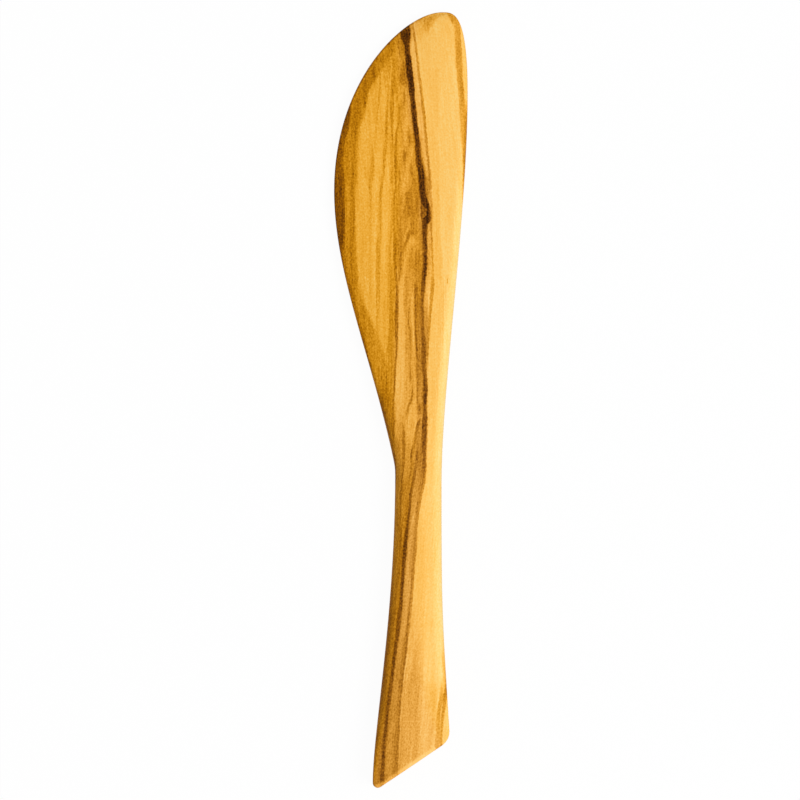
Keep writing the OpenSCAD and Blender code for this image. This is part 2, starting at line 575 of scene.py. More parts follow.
        slant, flare = radians(size.heel_slant), radians(size.heel_flare)
        cut_out = at(slant.sin(), slant.cos())
        long_reach = size.heel_width / 2 + size.heel_shift
        short_reach = size.heel_width / 2 - size.heel_shift
        long_y = size.overall_length - size.long_corner_radius
        long_centre = at(size.long_corner_radius - long_reach, long_y)
        cut_start = long_centre + cut_out * size.long_corner_radius
        cut_x, cut_y, _ = cut_start.parts()
        short_corner = at(short_reach, cut_y - (short_reach - cut_x) * slant.tan())
        flare_dir = at(flare.sin(), flare.cos())
        short_turn = math.pi / 2 - slant + flare
        short_start = short_corner - flare_dir * (size.short_corner_radius * (short_turn / 2).tan())
        short_centre = short_start + at(-flare.cos(), flare.sin()) * size.short_corner_radius
        short_y = short_start.parts()[1]

        top_width = size.nose_reach + belly_reach
        flank_length = size.blade_length - size.belly_place
        handle_length = long_y - shoulder_end.parts()[1]
        handle_end = at(-long_reach, long_y)
        belly_side = [
            self._curve(
                tip,
                tip - at(top_width * lean.belly_top, 0.0),
                belly - at(0.0, size.belly_place * lean.belly_side),
                belly,
            ),
            self._curve(
                belly,
                belly + at(0.0, flank_length * lean.flank),
                shoulder_start - flank_dir * (flank_length * lean.flank_end),
                shoulder_start,
            ),
            self._corner(shoulder_centre, size.shoulder_radius, -flank, flank),
            self._curve(
                shoulder_end,
                shoulder_end + at(0.0, handle_length * lean.handle),
                handle_end - at(0.0, handle_length * lean.handle_end),
                handle_end,
            ),
            self._corner(long_centre, size.long_corner_radius, math.pi, -(slant + math.pi / 2)),
        ]
        nose_width = size.spine_reach - size.nose_reach
        spine_length = size.neck_place - size.spine_place
        flare_length = short_y - size.neck_place
        spine_side = [
            self._curve(
                tip,
                tip + at(nose_width * lean.nose, 0.0),
                spine - at(0.0, size.spine_place * lean.spine_top),
                spine,
            ),
            self._curve(
                spine,
                spine + at(0.0, spine_length * lean.spine),
                neck_back - at(0.0, spine_length * lean.neck_back),
                neck_back,
            ),
            self._curve(
                neck_back,
                neck_back + at(0.0, flare_length * lean.flare),
                short_start - flare_dir * (flare_length * lean.flare),
                short_start,
            ),
            self._corner(short_centre, size.short_corner_radius, -flare, short_turn),
        ]
        return Outline(self._chain(belly_side), self._chain(spine_side), long_y, short_y)

    def _chain(self, curves: Sequence[Term]) -> Term:
        """Several curves as one chain, from the first to the last."""
        # The node puts what was linked last in front.
        return self.graph.node("GeometryNodeJoinGeometry", {}, {0: list(reversed(curves))})

    def _sample(self, chain: Term, share: Term) -> tuple[Term, Term]:
        """A point on a chain.

        Args:
            chain: The chain of curves.
            share: Share of the way along it.

        Returns:
            The point, and the direction of the chain there.
        """
        settings = {"mode": "FACTOR", "use_all_curves": True, "data_type": "FLOAT_VECTOR"}
        point = self.graph.node("GeometryNodeSampleCurve", settings, {"Curves": chain, "Factor": share})
        return point.out("Position"), point.out("Tangent")

    def _along(self, down: Term, table: Sequence[tuple[Any, Any]]) -> Term:
        """A smooth curve through the points of a table.

        Args:
            down: Distance down from the tip's height.
            table: Places and values, in order.

        Returns:
            The value at that distance.
        """
        last = len(table) - 1
        slopes = []
        for i in range(last + 1):
            (low, start), (high, end) = table[max(i - 1, 0)], table[min(i + 1, last)]
            slopes.append((end - start) / (high - low))
        total = table[0][1]
        for (low, start), (high, end), first, second in zip(table, table[1:], slopes, slopes[1:]):
            u = down.span(low, high)
            v = 1 - u
            swing = (v * first - u * second) * u * v * (high - low)
            total = u.ease() * (end - start) + swing + total
        return total

    def _full_thickness(self, down: Term) -> Term:
        """Thickness along the spine.

        Args:
            down: Distance down from the tip.

        Returns:
            The thickness there.
        """
        size = self.size
        return self._along(
            down,
            (
                (0.0, size.tip_thickness),
                (size.belly_place, size.blade_thickness),
                (size.neck_place, size.neck_thickness),
                (size.overall_length, size.heel_thickness),
            ),
        )

    def _runout(self, down: Term) -> Term:
        """How far the grind has run out: 0 on the blade and 1 on the handle."""
        size = self.size
        return ((down - size.blade_length + size.runout_length) / size.runout_length).ease()

    def _ground_thickness(self, inward: Any, down: Term, full: Term) -> Term:
        """Thickness of the ground wood, without the swell of its faces.

        Args:
            inward: Distance in from the spreading edge.
            down: Distance down from the tip.
            full: Thickness along the spine there.

        Returns:
            The thickness.
        """
        size = self.size
        thin = size.edge_thickness + (full - size.edge_thickness) * self._runout(down)
        flank = 1 - (inward / size.grind_width).min(1.0)
        return full - (full - thin) * flank * flank

    def _roundings(self, outline: Outline, left_y: Term, right_y: Term, width: Term) -> tuple[Term, Term]:
        """Radii of the rounded borders on both sides of a row, limited by the thickness there.

        Args:
            outline: The outline, for the places of the heel's corners.
            left_y: How far down the row meets the spreading edge.
            right_y: How far down it meets the spine.
            width: Width of the row.

        Returns:
            The radius on the spreading edge's side and the radius on the spine's side.
        """
        size = self.size
        left = size.edge_rounding.toward(size.side_rounding, self._runout(left_y))
        right = self._along(
            right_y,
            (
                (0.0, size.edge_rounding),
                (size.spine_place, size.spine_rounding),
                (size.neck_place, size.side_rounding),
                (size.overall_length, size.side_rounding),
            ),
        )
        radii = []
        sides = ((left, left_y, outline.long_y, 0.0), (right, right_y, outline.short_y, width))
        for wanted, down, corner_y, inward in sides:
            near_heel = ((down - corner_y + size.heel_fade) / size.heel_fade).ease()
            ground = self._ground_thickness(inward, down, self._full_thickness(down))
            limit = ground * (self.ROUND_LIMIT / 2)
            radii.append(wanted.toward(size.heel_rounding, near_heel).min(limit))
        return radii[0], radii[1]

    def _place(self) -> Term:
        """Place of every point, worked out from its station.

        Returns:
            The points' places in the row frame, in metres.
        """
        graph, size = self.graph, self.size
        settings = {"data_type": "FLOAT_VECTOR"}
        station = graph.node("GeometryNodeInputNamedAttribute", settings, {"Name": self.STATION})
        down, share, level = station.parts()
        outline = self._outline()
        share_down = down - (down * math.tau).sin() * (self.CROWDING / math.tau)
        left, left_dir = self._sample(outline.belly_side, share_down)
        right, right_dir = self._sample(outline.spine_side, share_down)
        left_dx, left_dy, _ = left_dir.parts()
        right_dx, right_dy, _ = right_dir.parts()
        width = (right - left).length()
        left_r, right_r = self._roundings(outline, left.parts()[1], right.parts()[1], width)

        angle = abs(level).span(self.WALL_SHARE, 1.0, 0.0, math.pi / 2)
        sunk = 1 - angle.cos()
        left_depth, right_depth = left_r * sunk, right_r * sunk
        # The two sides meet in the first row, at the tip, where inward is straight down.
        straight_down = Vector((0.0, 1.0, 0.0))
        past_tip = (down * self.steps.rows).min(1.0)
        left_in = (graph.vector(left_dy, -left_dx) - straight_down) * past_tip + straight_down
        right_in = (graph.vector(-right_dy, right_dx) - straight_down) * past_tip + straight_down
        left = left + left_in * left_depth
        right = right + right_in * right_depth
        x, y, _ = left.toward(right, share).parts()

        inward = left_depth.toward((width - right_depth).max(right_depth), share)
        swell = (1 - (share * 2 - 1) ** 2) * (width / size.neck_width).ease() * size.crown_height * 2
        full = self._full_thickness(y)
        thickness = self._ground_thickness(inward, y, full) + swell
        half = thickness / 2 - left_r.toward(right_r, share) * (1 - angle.sin())
        middle = full / 2 + size.crown_height - size.flat_depth
        z = (middle + level.span(-self.WALL_SHARE, self.WALL_SHARE, -1.0, 1.0) * half).max(0.0)
        middle_x = size.spine_reach - size.blade_width / 2
        return graph.vector(x - middle_x, size.overall_length / 2 - y, z) * MM


def radians(degrees: Term) -> Term:
    """An angle in radians."""
    return degrees * (math.pi / 180)


def sine(angle: Any) -> Any:
    """Sine of a term or of a number."""
    return angle.sin() if isinstance(angle, Term) else math.sin(angle)


def cosine(angle: Any) -> Any:
    """Cosine of a term or of a number."""
    return angle.cos() if isinstance(angle, Term) else math.cos(angle)


def colour(red: int, green: int, blue: int) -> tuple[float, float, float, float]:
    """A colour of a screen as the linear colour that a shader takes.

    Args:
        red: Its red, from 0 to 255.
        green: Its green.
        blue: Its blue.

    Returns:
        The linear colour, with full cover.
    """
    parts = [part / 255 for part in (red, green, blue)]
    linear = [part / 12.92 if part <= 0.04045 else ((part + 0.055) / 1.055) ** 2.4 for part in parts]
    return (*linear, 1.0)


@dataclass(frozen=True)
class Streak:
    """A streak of the wood's figure, or of painted light or shade, as it shows on the upper face.

    Its value is the tone of its wood, from 0 for the darkest vein to 1.1 for the palest sapwood,
    or the wood's brownness, from 0 to 1. Its left and right borders are as soft as given, in
    millimetres. Each point of its path is a height along the knife, the places of the left and
    right border there, also in millimetres, and its strength, from 0 to 1. A border at -20 or 20
    lies past the knife's side.
    """

    name: str
    value: float
    soft: tuple[float, float]
    path: tuple[tuple[float, float, float, float], ...]


# The streaks are drawn in this order, the broad woods of the whole knife first.
GROUNDS = (
    Streak("heartwood", 0.785, (0.3, 0.6), (
        (90, -20, 1, 1), (80, -20, 1.7, 1), (60, -20, 4, 1), (48, -20, 5.4, 1), (26, -20, 5.2, 1),
        (12, -20, 5.6, 1), (-14, -20, 5.9, 1), (-19, -20, 5.3, 1), (-24, -20, 4.2, 1), (-35, -20, 3.5, 1),
        (-50, -20, 2.2, 1), (-70, -20, 0.1, 1), (-91, -20, -1.1, 1),
    )),
    Streak("inner sapwood", 0.87, (0.3, 0.5), (
        (91, 2, 13, 0.35), (86, 2, 12.5, 0.4), (76, 4, 10, 0.5), (66, 5, 8.7, 0.6), (54, 6, 8.8, 0.9),
        (40, 7, 9.1, 0.8), (28, 7, 9.8, 0.8), (14, 6, 9.6, 0.9), (0, 6, 8.6, 0.9), (-10, 6.3, 8.1, 0.6),
        (-20, 4, 7, 0),
    )),
    Streak("warm sapwood", 0.88, (0.3, 1.8), (
        (-8, 5, 7.4, 0), (-16, 5, 7, 0.4), (-24, 4, 6, 0.5), (-36, 3.4, 5.8, 0.9), (-50, 2.2, 5.6, 1),
        (-64, 0.8, 4.8, 0.9), (-74, 0.2, 5, 0),
    )),
    # Paler sapwood along the spine, with a painted highlight over it where the rounded spine faces the
    # lamp.
    Streak("sunlit sapwood", 1.08, (3.6, 0.3), (
        (66, 15.5, 20, 0), (52, 14.2, 20, 0.35), (44, 13.1, 20, 0.6), (28, 11.9, 20, 0.9),
        (12, 10.4, 20, 1), (-8, 9.2, 20, 1), (-36, 8.8, 20, 1), (-60, 8.6, 20, 0.8), (-70, 9, 20, 0),
    )),
    Streak("handle heartwood", 0.635, (0.3, 0.35), (
        (-12, -20, 2.6, 0), (-17, -20, 4, 0.6), (-22, -20, 4.6, 1), (-26, -20, 4.1, 1), (-35, -20, 3.5, 1),
        (-50, -20, 2.2, 1), (-70, -20, 0.1, 1), (-91, -20, -1.1, 1),
    )),
    Streak("olive heel", 0.55, (0.3, 0.35), (
        (-52, -20, 2, 0), (-66, -20, 0.6, 0.8), (-76, -20, -0.3, 1), (-91, -20, -1.1, 1),
    )),
    Streak("heel wood", 0.71, (0.3, 2.6), (
        (-48, 2.5, 5.4, 0), (-56, 1.8, 5.2, 0.3), (-62, 1.3, 5, 0.65), (-70, 0.2, 5, 1), (-91, -1.2, 5, 1),
    )),
    Streak("heel corner", 0.8, (3, 0.8), (
        (-66, 5, 8.2, 0), (-75, 5, 8.2, 0.8), (-91, 5, 8.2, 0.8),
    )),
)

# The ground side of the blade, from the belly to the knot.
BLADE = (
    Streak("ground flank", 0.52, (0.3, 1.5), (
        (89, -20, 2, 1), (85, -20, 0, 1), (83, -20, -1, 1), (80, -20, -2.7, 1), (77, -20, -5, 1),
        (72, -20, -7.4, 1), (67, -20, -8.8, 1), (62, -20, -10.4, 1), (55, -20, -10.6, 1),
        (45, -20, -11.1, 1), (35, -20, -10.9, 1), (25, -20, -9.9, 1), (20, -20, -7.9, 0.95),
        (16, -20, -6.3, 0.95), (11, -20, -4.4, 0.95), (7, -20, -3.3, 0.9), (2, -20, -2.4, 0.85),
        (-6, -20, -1.6, 1), (-12, -20, -1.4, 0.5), (-16, -20, -1.2, 0),
    )),
    Streak("upper flank", 0.45, (0.8, 0.8), (
        (84, -3, -2, 0), (80, -6, -4.2, 0.1), (77, -7.85, -6.55, 0.1), (74, -9.6, -7.3, 0.9),
        (70, -10.6, -8.5, 0.8), (67, -10.7, -8.9, 0.45), (63, -11, -10, 0.25), (60, -11.2, -10.4, 0),
    )),
    Streak("lower flank", 0.42, (0.3, 0.6), (
        (7, -20, -3.4, 0), (3, -20, -2.4, 0.25), (-1, -20, -1.7, 0.8), (-6, -20, -1.7, 1),
        (-11, -20, -1.7, 0.8), (-15, -20, -1.4, 0),
    )),
    Streak("flank light", 0.62, (0.4, 0.4), (
        (57, -12.9, -12, 0), (52, -13, -12, 0.6), (46, -13, -12, 0.6), (40, -13, -12.2, 0.5),
        (35, -12.9, -12.4, 0),
    )),
    Streak("shoulder edge", 0.42, (0.3, 0.8), (
        (2, -20, -4.8, 0), (-3, -20, -3.4, 0.5), (-8, -20, -2.2, 1), (-12, -20, -1.6, 1),
        (-16, -20, -1.2, 0),
    )),
    Streak("belly edge", 0.34, (0.3, 0.35), (
        (70, -20, -12.2, 0), (67, -20, -12.2, 1), (64, -20, -12.5, 1), (60, -20, -13.6, 0.8),
        (55, -20, -13.9, 0.9), (51, -20, -13.5, 1), (38, -20, -13.5, 1), (34, -20, -13.4, 0.7),
        (29, -20, -12.8, 0.5), (22, -20, -11.2, 0.4), (16, -20, -9.4, 0),
    )),
    Streak("belly heart", 0.25, (0.3, 0.6), (
        (69, -20, -13, 0), (66, -20, -12.8, 0.7), (61, -20, -14.2, 0.3), (53, -20, -14.2, 0.4),
        (48, -20, -13.8, 0.9), (39, -20, -13.7, 1), (35, -20, -13.8, 0),
    )),
    Streak("flank line", 0.44, (0.3, 0.25), (
        (64, -11, -10.7, 0), (58, -11.45, -10.95, 0.5), (52, -11.8, -11.4, 0.4), (45, -11.45, -11.05, 0.5),
        (40, -11.7, -11.2, 0.6), (37, -12.2, -11.55, 1), (31, -12.4, -11.6, 0.95), (26, -12.1, -11.5, 0.9),
        (22, -11, -10.5, 0),
    )),
    Streak("light by the flank", 0.8, (0.8, 0.8), (
        (66, -9.2, -7.8, 0), (58, -9.9, -8, 0.8), (48, -10.2, -8.1, 1), (38, -10.2, -8.5, 0.65),
        (28, -10, -8.2, 0.3), (22, -9.6, -8.2, 0),
    )),
    Streak("first field line", 0.65, (0.4, 0.3), (
        (61, -7.2, -6.6, 0), (57, -7.1, -6.5, 0.65), (54, -7.3, -6.4, 1), (49, -7.7, -6.9, 0.7),
        (44, -7.7, -7, 0.6), (36, -7.5, -7, 0.25), (28, -7.8, -7.3, 0.35), (22, -7.3, -7, 0),
    )),
    Streak("first field light", 0.83, (0.4, 0.5), (
        (62, -5.9, -4.8, 0), (58, -5.95, -4.75, 0.6), (54, -6.05, -5, 1), (50, -6.5, -5.5, 0.9),
        (45, -6.6, -5.6, 0.25), (35, -7.1, -6.15, 0.55), (25, -7.15, -6.25, 0.65), (18, -6.75, -6.15, 0.5),
        (10, -6.3, -5.8, 0.2),
    )),
    Streak("second field line", 0.6, (0.4, 0.3), (
        (61, -4.3, -3.9, 0), (59, -4.25, -3.55, 0.6), (55, -4.25, -3.65, 0.85), (52, -4.6, -3.95, 0.95),
        (47, -5.25, -4.65, 0.7), (40, -5.2, -4.7, 0.6), (36, -5.85, -4.85, 0.75), (31, -5.95, -4.95, 0.75),
        (24, -6, -5, 0.8), (16, -6.15, -5.5, 0.6), (8, -5.5, -5.2, 0),
    )),
    Streak("second field light", 0.85, (0.4, 0.4), (
        (57, -3.9, -3, 0), (53, -3.7, -2.8, 0.75), (47, -4.5, -2.9, 0.85), (40, -4.4, -3, 0.8),
        (35, -4.75, -3.65, 0.95), (30, -4.8, -3.9, 0.55), (20, -5, -4.3, 0.45), (13, -5.3, -4.55, 0.3),
        (6, -5.2, -4.5, 0),
    )),
    Streak("third field line", 0.62, (0.4, 0.3), (
        (62, -2.4, -1.8, 0.6), (54, -2.5, -1.8, 0.8), (48, -2.4, -1.7, 0.9), (42, -2.3, -1.6, 0.8),
        (36, -2.8, -2.2, 0.7), (30, -3.1, -2.3, 0.8), (24, -3.3, -2.5, 0.7), (18, -3.4, -2.8, 0),
    )),
    Streak("upper light", 0.81, (0.6, 0.4), (
        (75, -4.7, -3.9, 0), (72, -5.1, -3.8, 0.8), (65, -5.2, -3.95, 1), (58, -5.2, -4.2, 0),
    )),
    Streak("upper outer light", 0.79, (0.6, 0.6), (
        (75, -7, -5.6, 0), (70, -8.2, -5.9, 0.7), (64, -8.6, -6.6, 0.7), (58, -8.8, -7.4, 0),
    )),
    Streak("upper field line", 0.62, (0.3, 0.3), (
        (79, -4.9, -4.6, 0), (76, -5.3, -4.9, 0.85), (70, -5.6, -5.2, 0.5), (64, -6.2, -5.7, 0.4),
        (57, -6.4, -6, 0),
    )),
    Streak("upper outer line", 0.6, (0.3, 0.3), (
        (75, -3.1, -2.8, 0), (70, -3.4, -3, 0.95), (65, -3.75, -3.15, 1), (60, -3.7, -3.2, 0.75),
        (56, -3.8, -3.4, 0),
    )),
    Streak("upper field shade", 0.6, (0.5, 0.5), (
        (80.5, -3.4, -2.4, 0), (78, -4.4, -2.6, 0.7), (75, -4.2, -2.8, 0.6), (72, -3.6, -2.9, 0.3),
        (69, -3.4, -3, 0),
    )),
    Streak("upper middle line", 0.52, (0.4, 0.3), (
        (81, -1.5, -1, 0), (78, -2.2, -1.2, 0.5), (74, -2.6, -1.3, 0.65), (71, -2.8, -1.7, 0.75),
        (64, -2.7, -1.9, 0.5), (57, -2.5, -2, 0),
    )),
    Streak("slanting line", 0.58, (0.3, 0.3), (
        (28, -2.3, -2, 0), (22, -2.55, -2.25, 0.45), (16, -3.05, -2.65, 0.7), (11, -3.6, -3.2, 0.4),
        (7, -4.2, -3.8, 0),
    )),
    Streak("shade by the middle line", 0.57, (0.5, 0.4), (
        (32, -2.4, -1.3, 0), (26, -2.7, -1.4, 0.9), (19, -2.9, -1.5, 0.9), (13, -3.2, -1.5, 0.8),
        (8, -3.3, -1.5, 0.8), (4, -3, -1.6, 0.6), (0, -2.6, -1.6, 0),
    )),
)

# The knotty wood in the middle of the blade.
KNOT = (
    Streak("knot wood", 0.62, (0.4, 0.4), (
        (88, -2, 1.6, 0), (84, -2, 1.6, 0.8), (79, -2.4, 1.8, 0.9), (75, -1.6, 2.2, 0.8),
        (70, -1.4, 2.6, 0.6), (64, -1.2, 3.2, 0.5), (59, -1, 3.8, 0.7), (54, -1.2, 4.4, 0.9),
        (48, -1.2, 4.8, 1), (34, -1.2, 5.4, 1), (29, -0.4, 5.2, 0.9), (25, 0.6, 3.4, 0.8),
        (12, 0.7, 3.4, 0.5), (0, 0.7, 3.6, 0.4), (-4, 0.6, 3.6, 0),
    )),
    Streak("shade under the tip", 0.44, (0.5, 0.4), (
        (87.4, -0.3, 0.5, 0), (86, -1.2, 0.35, 0.6), (84.3, -1.3, 0.55, 0.75), (82.6, -1.1, 0.75, 0.65),
        (80.5, -0.6, 0.95, 0.45), (76, 0.9, 1.5, 0),
    )),
    Streak("upper shade", 0.45, (0.5, 0.5), (
        (80, 0.2, 1.4, 0), (77.5, -0.25, 1.6, 0.8), (75.4, -0.5, 1.6, 1), (74.2, -0.1, 1.5, 0.8),
        (73, 0.4, 1.2, 0),
    )),
    Streak("small shade", 0.5, (0.3, 0.3), (
        (73, 0.5, 0.8, 0), (71.4, 0.4, 0.9, 0.75), (69.6, 0.4, 0.85, 0.85), (68.2, 0.1, 0.4, 0),
    )),
    Streak("small light", 0.76, (0.3, 0.3), (
        (72, -0.6, 0, 0), (71, -0.9, 0.1, 0.7), (70, -0.9, 0, 0.7), (69.2, -0.7, -0.3, 0),
    )),
    Streak("upper inner line", 0.5, (0.3, 0.3), (
        (69.4, -0.8, -0.4, 0), (68, -0.85, -0.25, 0.8), (66, -0.85, -0.3, 0.85), (63, -1.1, -0.7, 0.55),
        (60, -1.2, -0.9, 0),
    )),
    Streak("upper light lens", 0.74, (0.5, 0.5), (
        (68, 1, 1.8, 0), (65, 0.7, 2.2, 0.9), (62, 0, 1.5, 0.8), (59.5, -0.4, 0.8, 0.75),
        (57, -0.6, 0.2, 0),
    )),
    Streak("shade by the lens", 0.48, (0.4, 0.5), (
        (64.6, 1.7, 2, 0), (63, 1.5, 2.1, 0.6), (60.5, 1.65, 2.7, 0.65), (59, 1.4, 2.4, 0),
    )),
    Streak("drop", 0.5, (0.3, 0.3), (
        (59.4, 0.7, 1.4, 0), (58, 0.5, 1.5, 0.45), (56.6, 0.45, 1.05, 1), (55.2, 0.5, 0.8, 0),
    )),
    Streak("slanting light", 0.75, (0.5, 0.5), (
        (59.4, 2.3, 3, 0), (57.6, 1.75, 2.65, 0.75), (55, 1.25, 2.1, 1), (53.4, 1, 1.9, 1),
        (51.4, 0.5, 1.9, 0.95), (49.4, 0.25, 1.8, 0.8), (48, -0.4, 0.6, 0.45), (46.6, -0.4, 0.2, 0),
    )),
    Streak("knot shade", 0.48, (0.5, 0.6), (
        (55.4, 2, 2.8, 0), (54, 2, 2.8, 0.85), (51, 2.5, 4, 0.75), (48.6, 1.7, 4.1, 0.8),
        (46, 1, 4.2, 0.8), (43.4, 0.4, 4.2, 0.8), (42, 0.6, 4.2, 0.6), (40.4, 0.7, 3.9, 0.6),
        (38.8, 0.9, 3.7, 0.8), (37.4, 2.8, 4.6, 0),
    )),
    Streak("swirl", 0.48, (0.25, 0.25), (
        (48.3, 0.3, 0.8, 0), (47.6, 0.05, 0.45, 0.6), (46.8, -0.2, 0.2, 0.6), (46, 0, 0.4, 0.6),
        (45.2, 0.4, 1, 0),
    )),
    Streak("swirl light", 0.66, (0.25, 0.25), (
        (47.6, 0.4, 0.8, 0), (47, 0.3, 0.9, 0.6), (46.2, 0.4, 0.9, 0.5), (45.6, 0.6, 0.9, 0),
    )),
    Streak("knot light", 0.77, (0.3, 0.3), (
        (43.2, 1.7, 2, 0), (42.2, 1.6, 2.2, 0.65), (41.2, 1.6, 2.2, 0.65), (40.3, 1.5, 2.1, 0.85),
        (39.2, 1.2, 1.7, 0.5), (38.4, 0.9, 1.2, 0),
    )),
    Streak("arch", 0.46, (0.3, 0.3), (
        (39.6, 2.8, 4.6, 0), (38.9, 1.8, 4, 0.7), (38.2, 1.5, 2.6, 0.95), (37.2, 1.1, 1.75, 1),
        (36, 0.7, 1.25, 0.95), (34.5, 0.1, 0.6, 0.75), (33, -0.3, 0.2, 0.7), (31, -0.3, 0.15, 0.7),
        (29.2, -0.35, 0.15, 0.85), (27.6, -0.7, -0.4, 0),
    )),
    Streak("outer arch", 0.54, (0.3, 0.3), (
        (40, 0.4, 0.7, 0), (38.4, -0.1, 0.3, 0.3), (36.6, -0.15, 0.25, 0.2), (34.5, -0.8, -0.4, 0.2),
        (32.6, -1, -0.7, 0),
    )),
    Streak("light under the arch", 0.76, (0.4, 0.5), (
        (38.6, 2.4, 3, 0), (37.6, 2.05, 3.25, 1), (36, 1.5, 2.8, 0.7), (34, 1.05, 1.95, 0.65),
        (31, 0.6, 1.45, 0.85), (28.6, 0.3, 1.1, 0.8), (26.6, -0.2, 0.4, 0),
    )),
    Streak("shade by the vein", 0.52, (0.8, 0.4), (
        (39, 4.2, 5.3, 0), (36, 3.9, 5.4, 0.65), (31, 3, 5.3, 0.8), (28.4, 3.2, 5.2, 0.7),
        (26.4, 3.8, 5.2, 0),
    )),
    Streak("inner line", 0.54, (0.3, 0.3), (
        (56.4, -0.5, 0.2, 0), (54, -0.5, 0.3, 0.5), (51, -0.5, -0.15, 0.8), (45, -0.8, -0.45, 0.15),
        (41, -0.7, -0.3, 0.15), (37, -0.9, -0.6, 0),
    )),
    Streak("middle line", 0.42, (0.35, 0.25), (
        (64, -1.2, -1, 0), (60, -1.6, -1, 0.9), (55, -1.6, -1, 0.9), (50, -1.4, -1.05, 0.65),
        (47, -1.75, -1.35, 0.6), (40, -1.75, -1.35, 0.6), (37, -1.75, -0.7, 0.8), (33, -1.75, -1.05, 0.75),
        (30, -1.55, -0.85, 0.65), (25, -1.25, -0.55, 0.9), (19, -1.65, -0.6, 1), (12, -1.35, -0.85, 1),
        (6, -1.75, -1.25, 0.9), (-6, -2, -1.6, 1), (-14, -1.8, -1.4, 0),
    )),
)

# The lower blade and the neck.
NECK = (
    Streak("pale strip", 0.83, (0.35, 0.5), (
        (29.6, -0.4, 0, 0), (28, -0.05, 0.75, 0.7), (22, -0.4, 0.6, 0.7), (20, -0.3, 0.7, 1),
        (14, -0.6, 0.9, 0.95), (4, -1.1, 0.7, 0.9), (-1, -1.35, 0.55, 1), (-5, -1.2, 0.75, 0.7),
        (-10, -1.5, 0, 0),
    )),
    Streak("strip line", 0.57, (0.3, 0.3), (
        (29, 0.9, 1.3, 0), (26, 1.1, 1.75, 1), (22, 0.9, 1.4, 0.6), (14, 1, 1.3, 0.45), (7, 0.9, 1.1, 0),
    )),
    Streak("wavy line", 0.47, (0.3, 0.3), (
        (26, 1.8, 2, 0), (23, 1.9, 2.2, 0.5), (20, 1.75, 2.1, 0.95), (18, 1.6, 2.05, 1), (16, 1.9, 2.4, 1),
        (13.6, 1.95, 2.4, 0.8), (9, 1.9, 2.5, 0.25), (5, 2, 2.5, 0.6), (3, 2.2, 2.5, 0),
    )),
    Streak("light by the band", 0.79, (0.3, 0.25), (
        (29, 2.5, 3, 0), (26, 2.9, 3.4, 0.45), (22, 2.45, 3.3, 0.95), (17, 2.6, 3.3, 0.95),
        (13, 2.7, 3.5, 0.7), (9, 2.95, 3.6, 0.4), (3, 2.95, 3.8, 1), (-1, 2.75, 3.75, 0.75),
        (-5, 1.3, 3.6, 1), (-8, 1.25, 3.05, 0.4), (-12, 1, 2.2, 0),
    )),
    Streak("hook", 0.46, (0.3, 0.4), (
        (3, 2.5, 2.8, 0), (1.6, 2.5, 3, 0.8), (0, 2.3, 2.8, 0.85), (-1.4, 1.65, 2.15, 0.8),
        (-3, 1.1, 1.8, 0.75), (-5, 1.05, 1.55, 0.3), (-7, 0.5, 0.9, 0),
    )),
    Streak("band", 0.55, (0.3, 0.25), (
        (28, 3.4, 5.2, 0), (26.4, 3.3, 5.3, 0.8), (24, 3.1, 5.4, 1), (18, 3.1, 5.35, 1),
        (13, 3.35, 5.6, 1), (8, 3.5, 6, 1), (3, 3.7, 6.1, 0.9), (-2, 3.8, 6.1, 0.8), (-4, 3.9, 6.35, 0.6),
        (-6, 3.8, 6, 0.7), (-12, 2.9, 5.9, 0.8), (-15, 2.7, 5.85, 0.9), (-17, 2.7, 5.6, 0.9),
        (-19, 2.8, 5.3, 0.9), (-21, 3.5, 5.15, 0.8), (-23, 3.95, 4.8, 0.3), (-25, 3.6, 4.3, 0),
    )),
    Streak("band border", 0.38, (0.25, 0.25), (
        (27.4, 3.1, 3.3, 0), (24, 3.35, 3.65, 0.8), (17, 3.3, 3.6, 0.9), (12, 3.6, 3.9, 1),
        (6, 3.95, 4.2, 0.4), (0, 3.85, 4.15, 0.25), (-3, 3.8, 4.1, 0),
    )),
    Streak("band spot", 0.4, (0.3, 0.3), (
        (27.6, 3.4, 3.8, 0), (26.4, 3.5, 4.1, 0.75), (25.2, 3.45, 3.95, 0.7), (24.2, 3.4, 3.8, 0),
    )),
    Streak("lower spot", 0.4, (0.3, 0.3), (
        (-0.8, 4.3, 4.7, 0), (-2.2, 4.1, 4.85, 1), (-3, 4.25, 4.8, 0.95), (-3.8, 4.1, 4.5, 0),
    )),
    Streak("band's dark end", 0.45, (0.5, 0.3), (
        (-8.5, 4.2, 5.8, 0), (-11, 3.9, 5.9, 0.6), (-14, 3.5, 6, 0.8), (-17, 3.9, 5.8, 0.6),
        (-19.5, 4.2, 5.4, 0),
    )),
    Streak("neck wood", 0.61, (0.3, 0.8), (
        (1, -1.4, 0.8, 0), (-4, -1.6, 0.9, 0.35), (-9, -1.6, 1.1, 0.7), (-13, -1.4, 2.2, 0.9),
        (-18, -1.2, 2.6, 0.5), (-22, -1.2, 2.6, 0),
    )),
    Streak("neck light", 0.68, (0.4, 0.4), (
        (-8, 1, 2.4, 0), (-11, 1.2, 2.4, 1), (-15, 1.05, 2.25, 0.85), (-18, 0.8, 1.75, 0.65),
        (-22, 0.4, 1.3, 0.25), (-26, 0.3, 1, 0),
    )),
    Streak("inner neck line", 0.37, (0.35, 0.35), (
        (-4.4, 4.5, 4.9, 0), (-5.4, 4, 4.7, 1), (-8, 3.2, 3.9, 0.5), (-11, 2.7, 3.2, 0.75),
        (-13, 2.3, 2.8, 1), (-15, 2.4, 2.8, 0.9), (-18, 2, 2.5, 0.8), (-20, 1.65, 2.25, 0.4),
        (-23, 1.6, 2, 0),
    )),
)

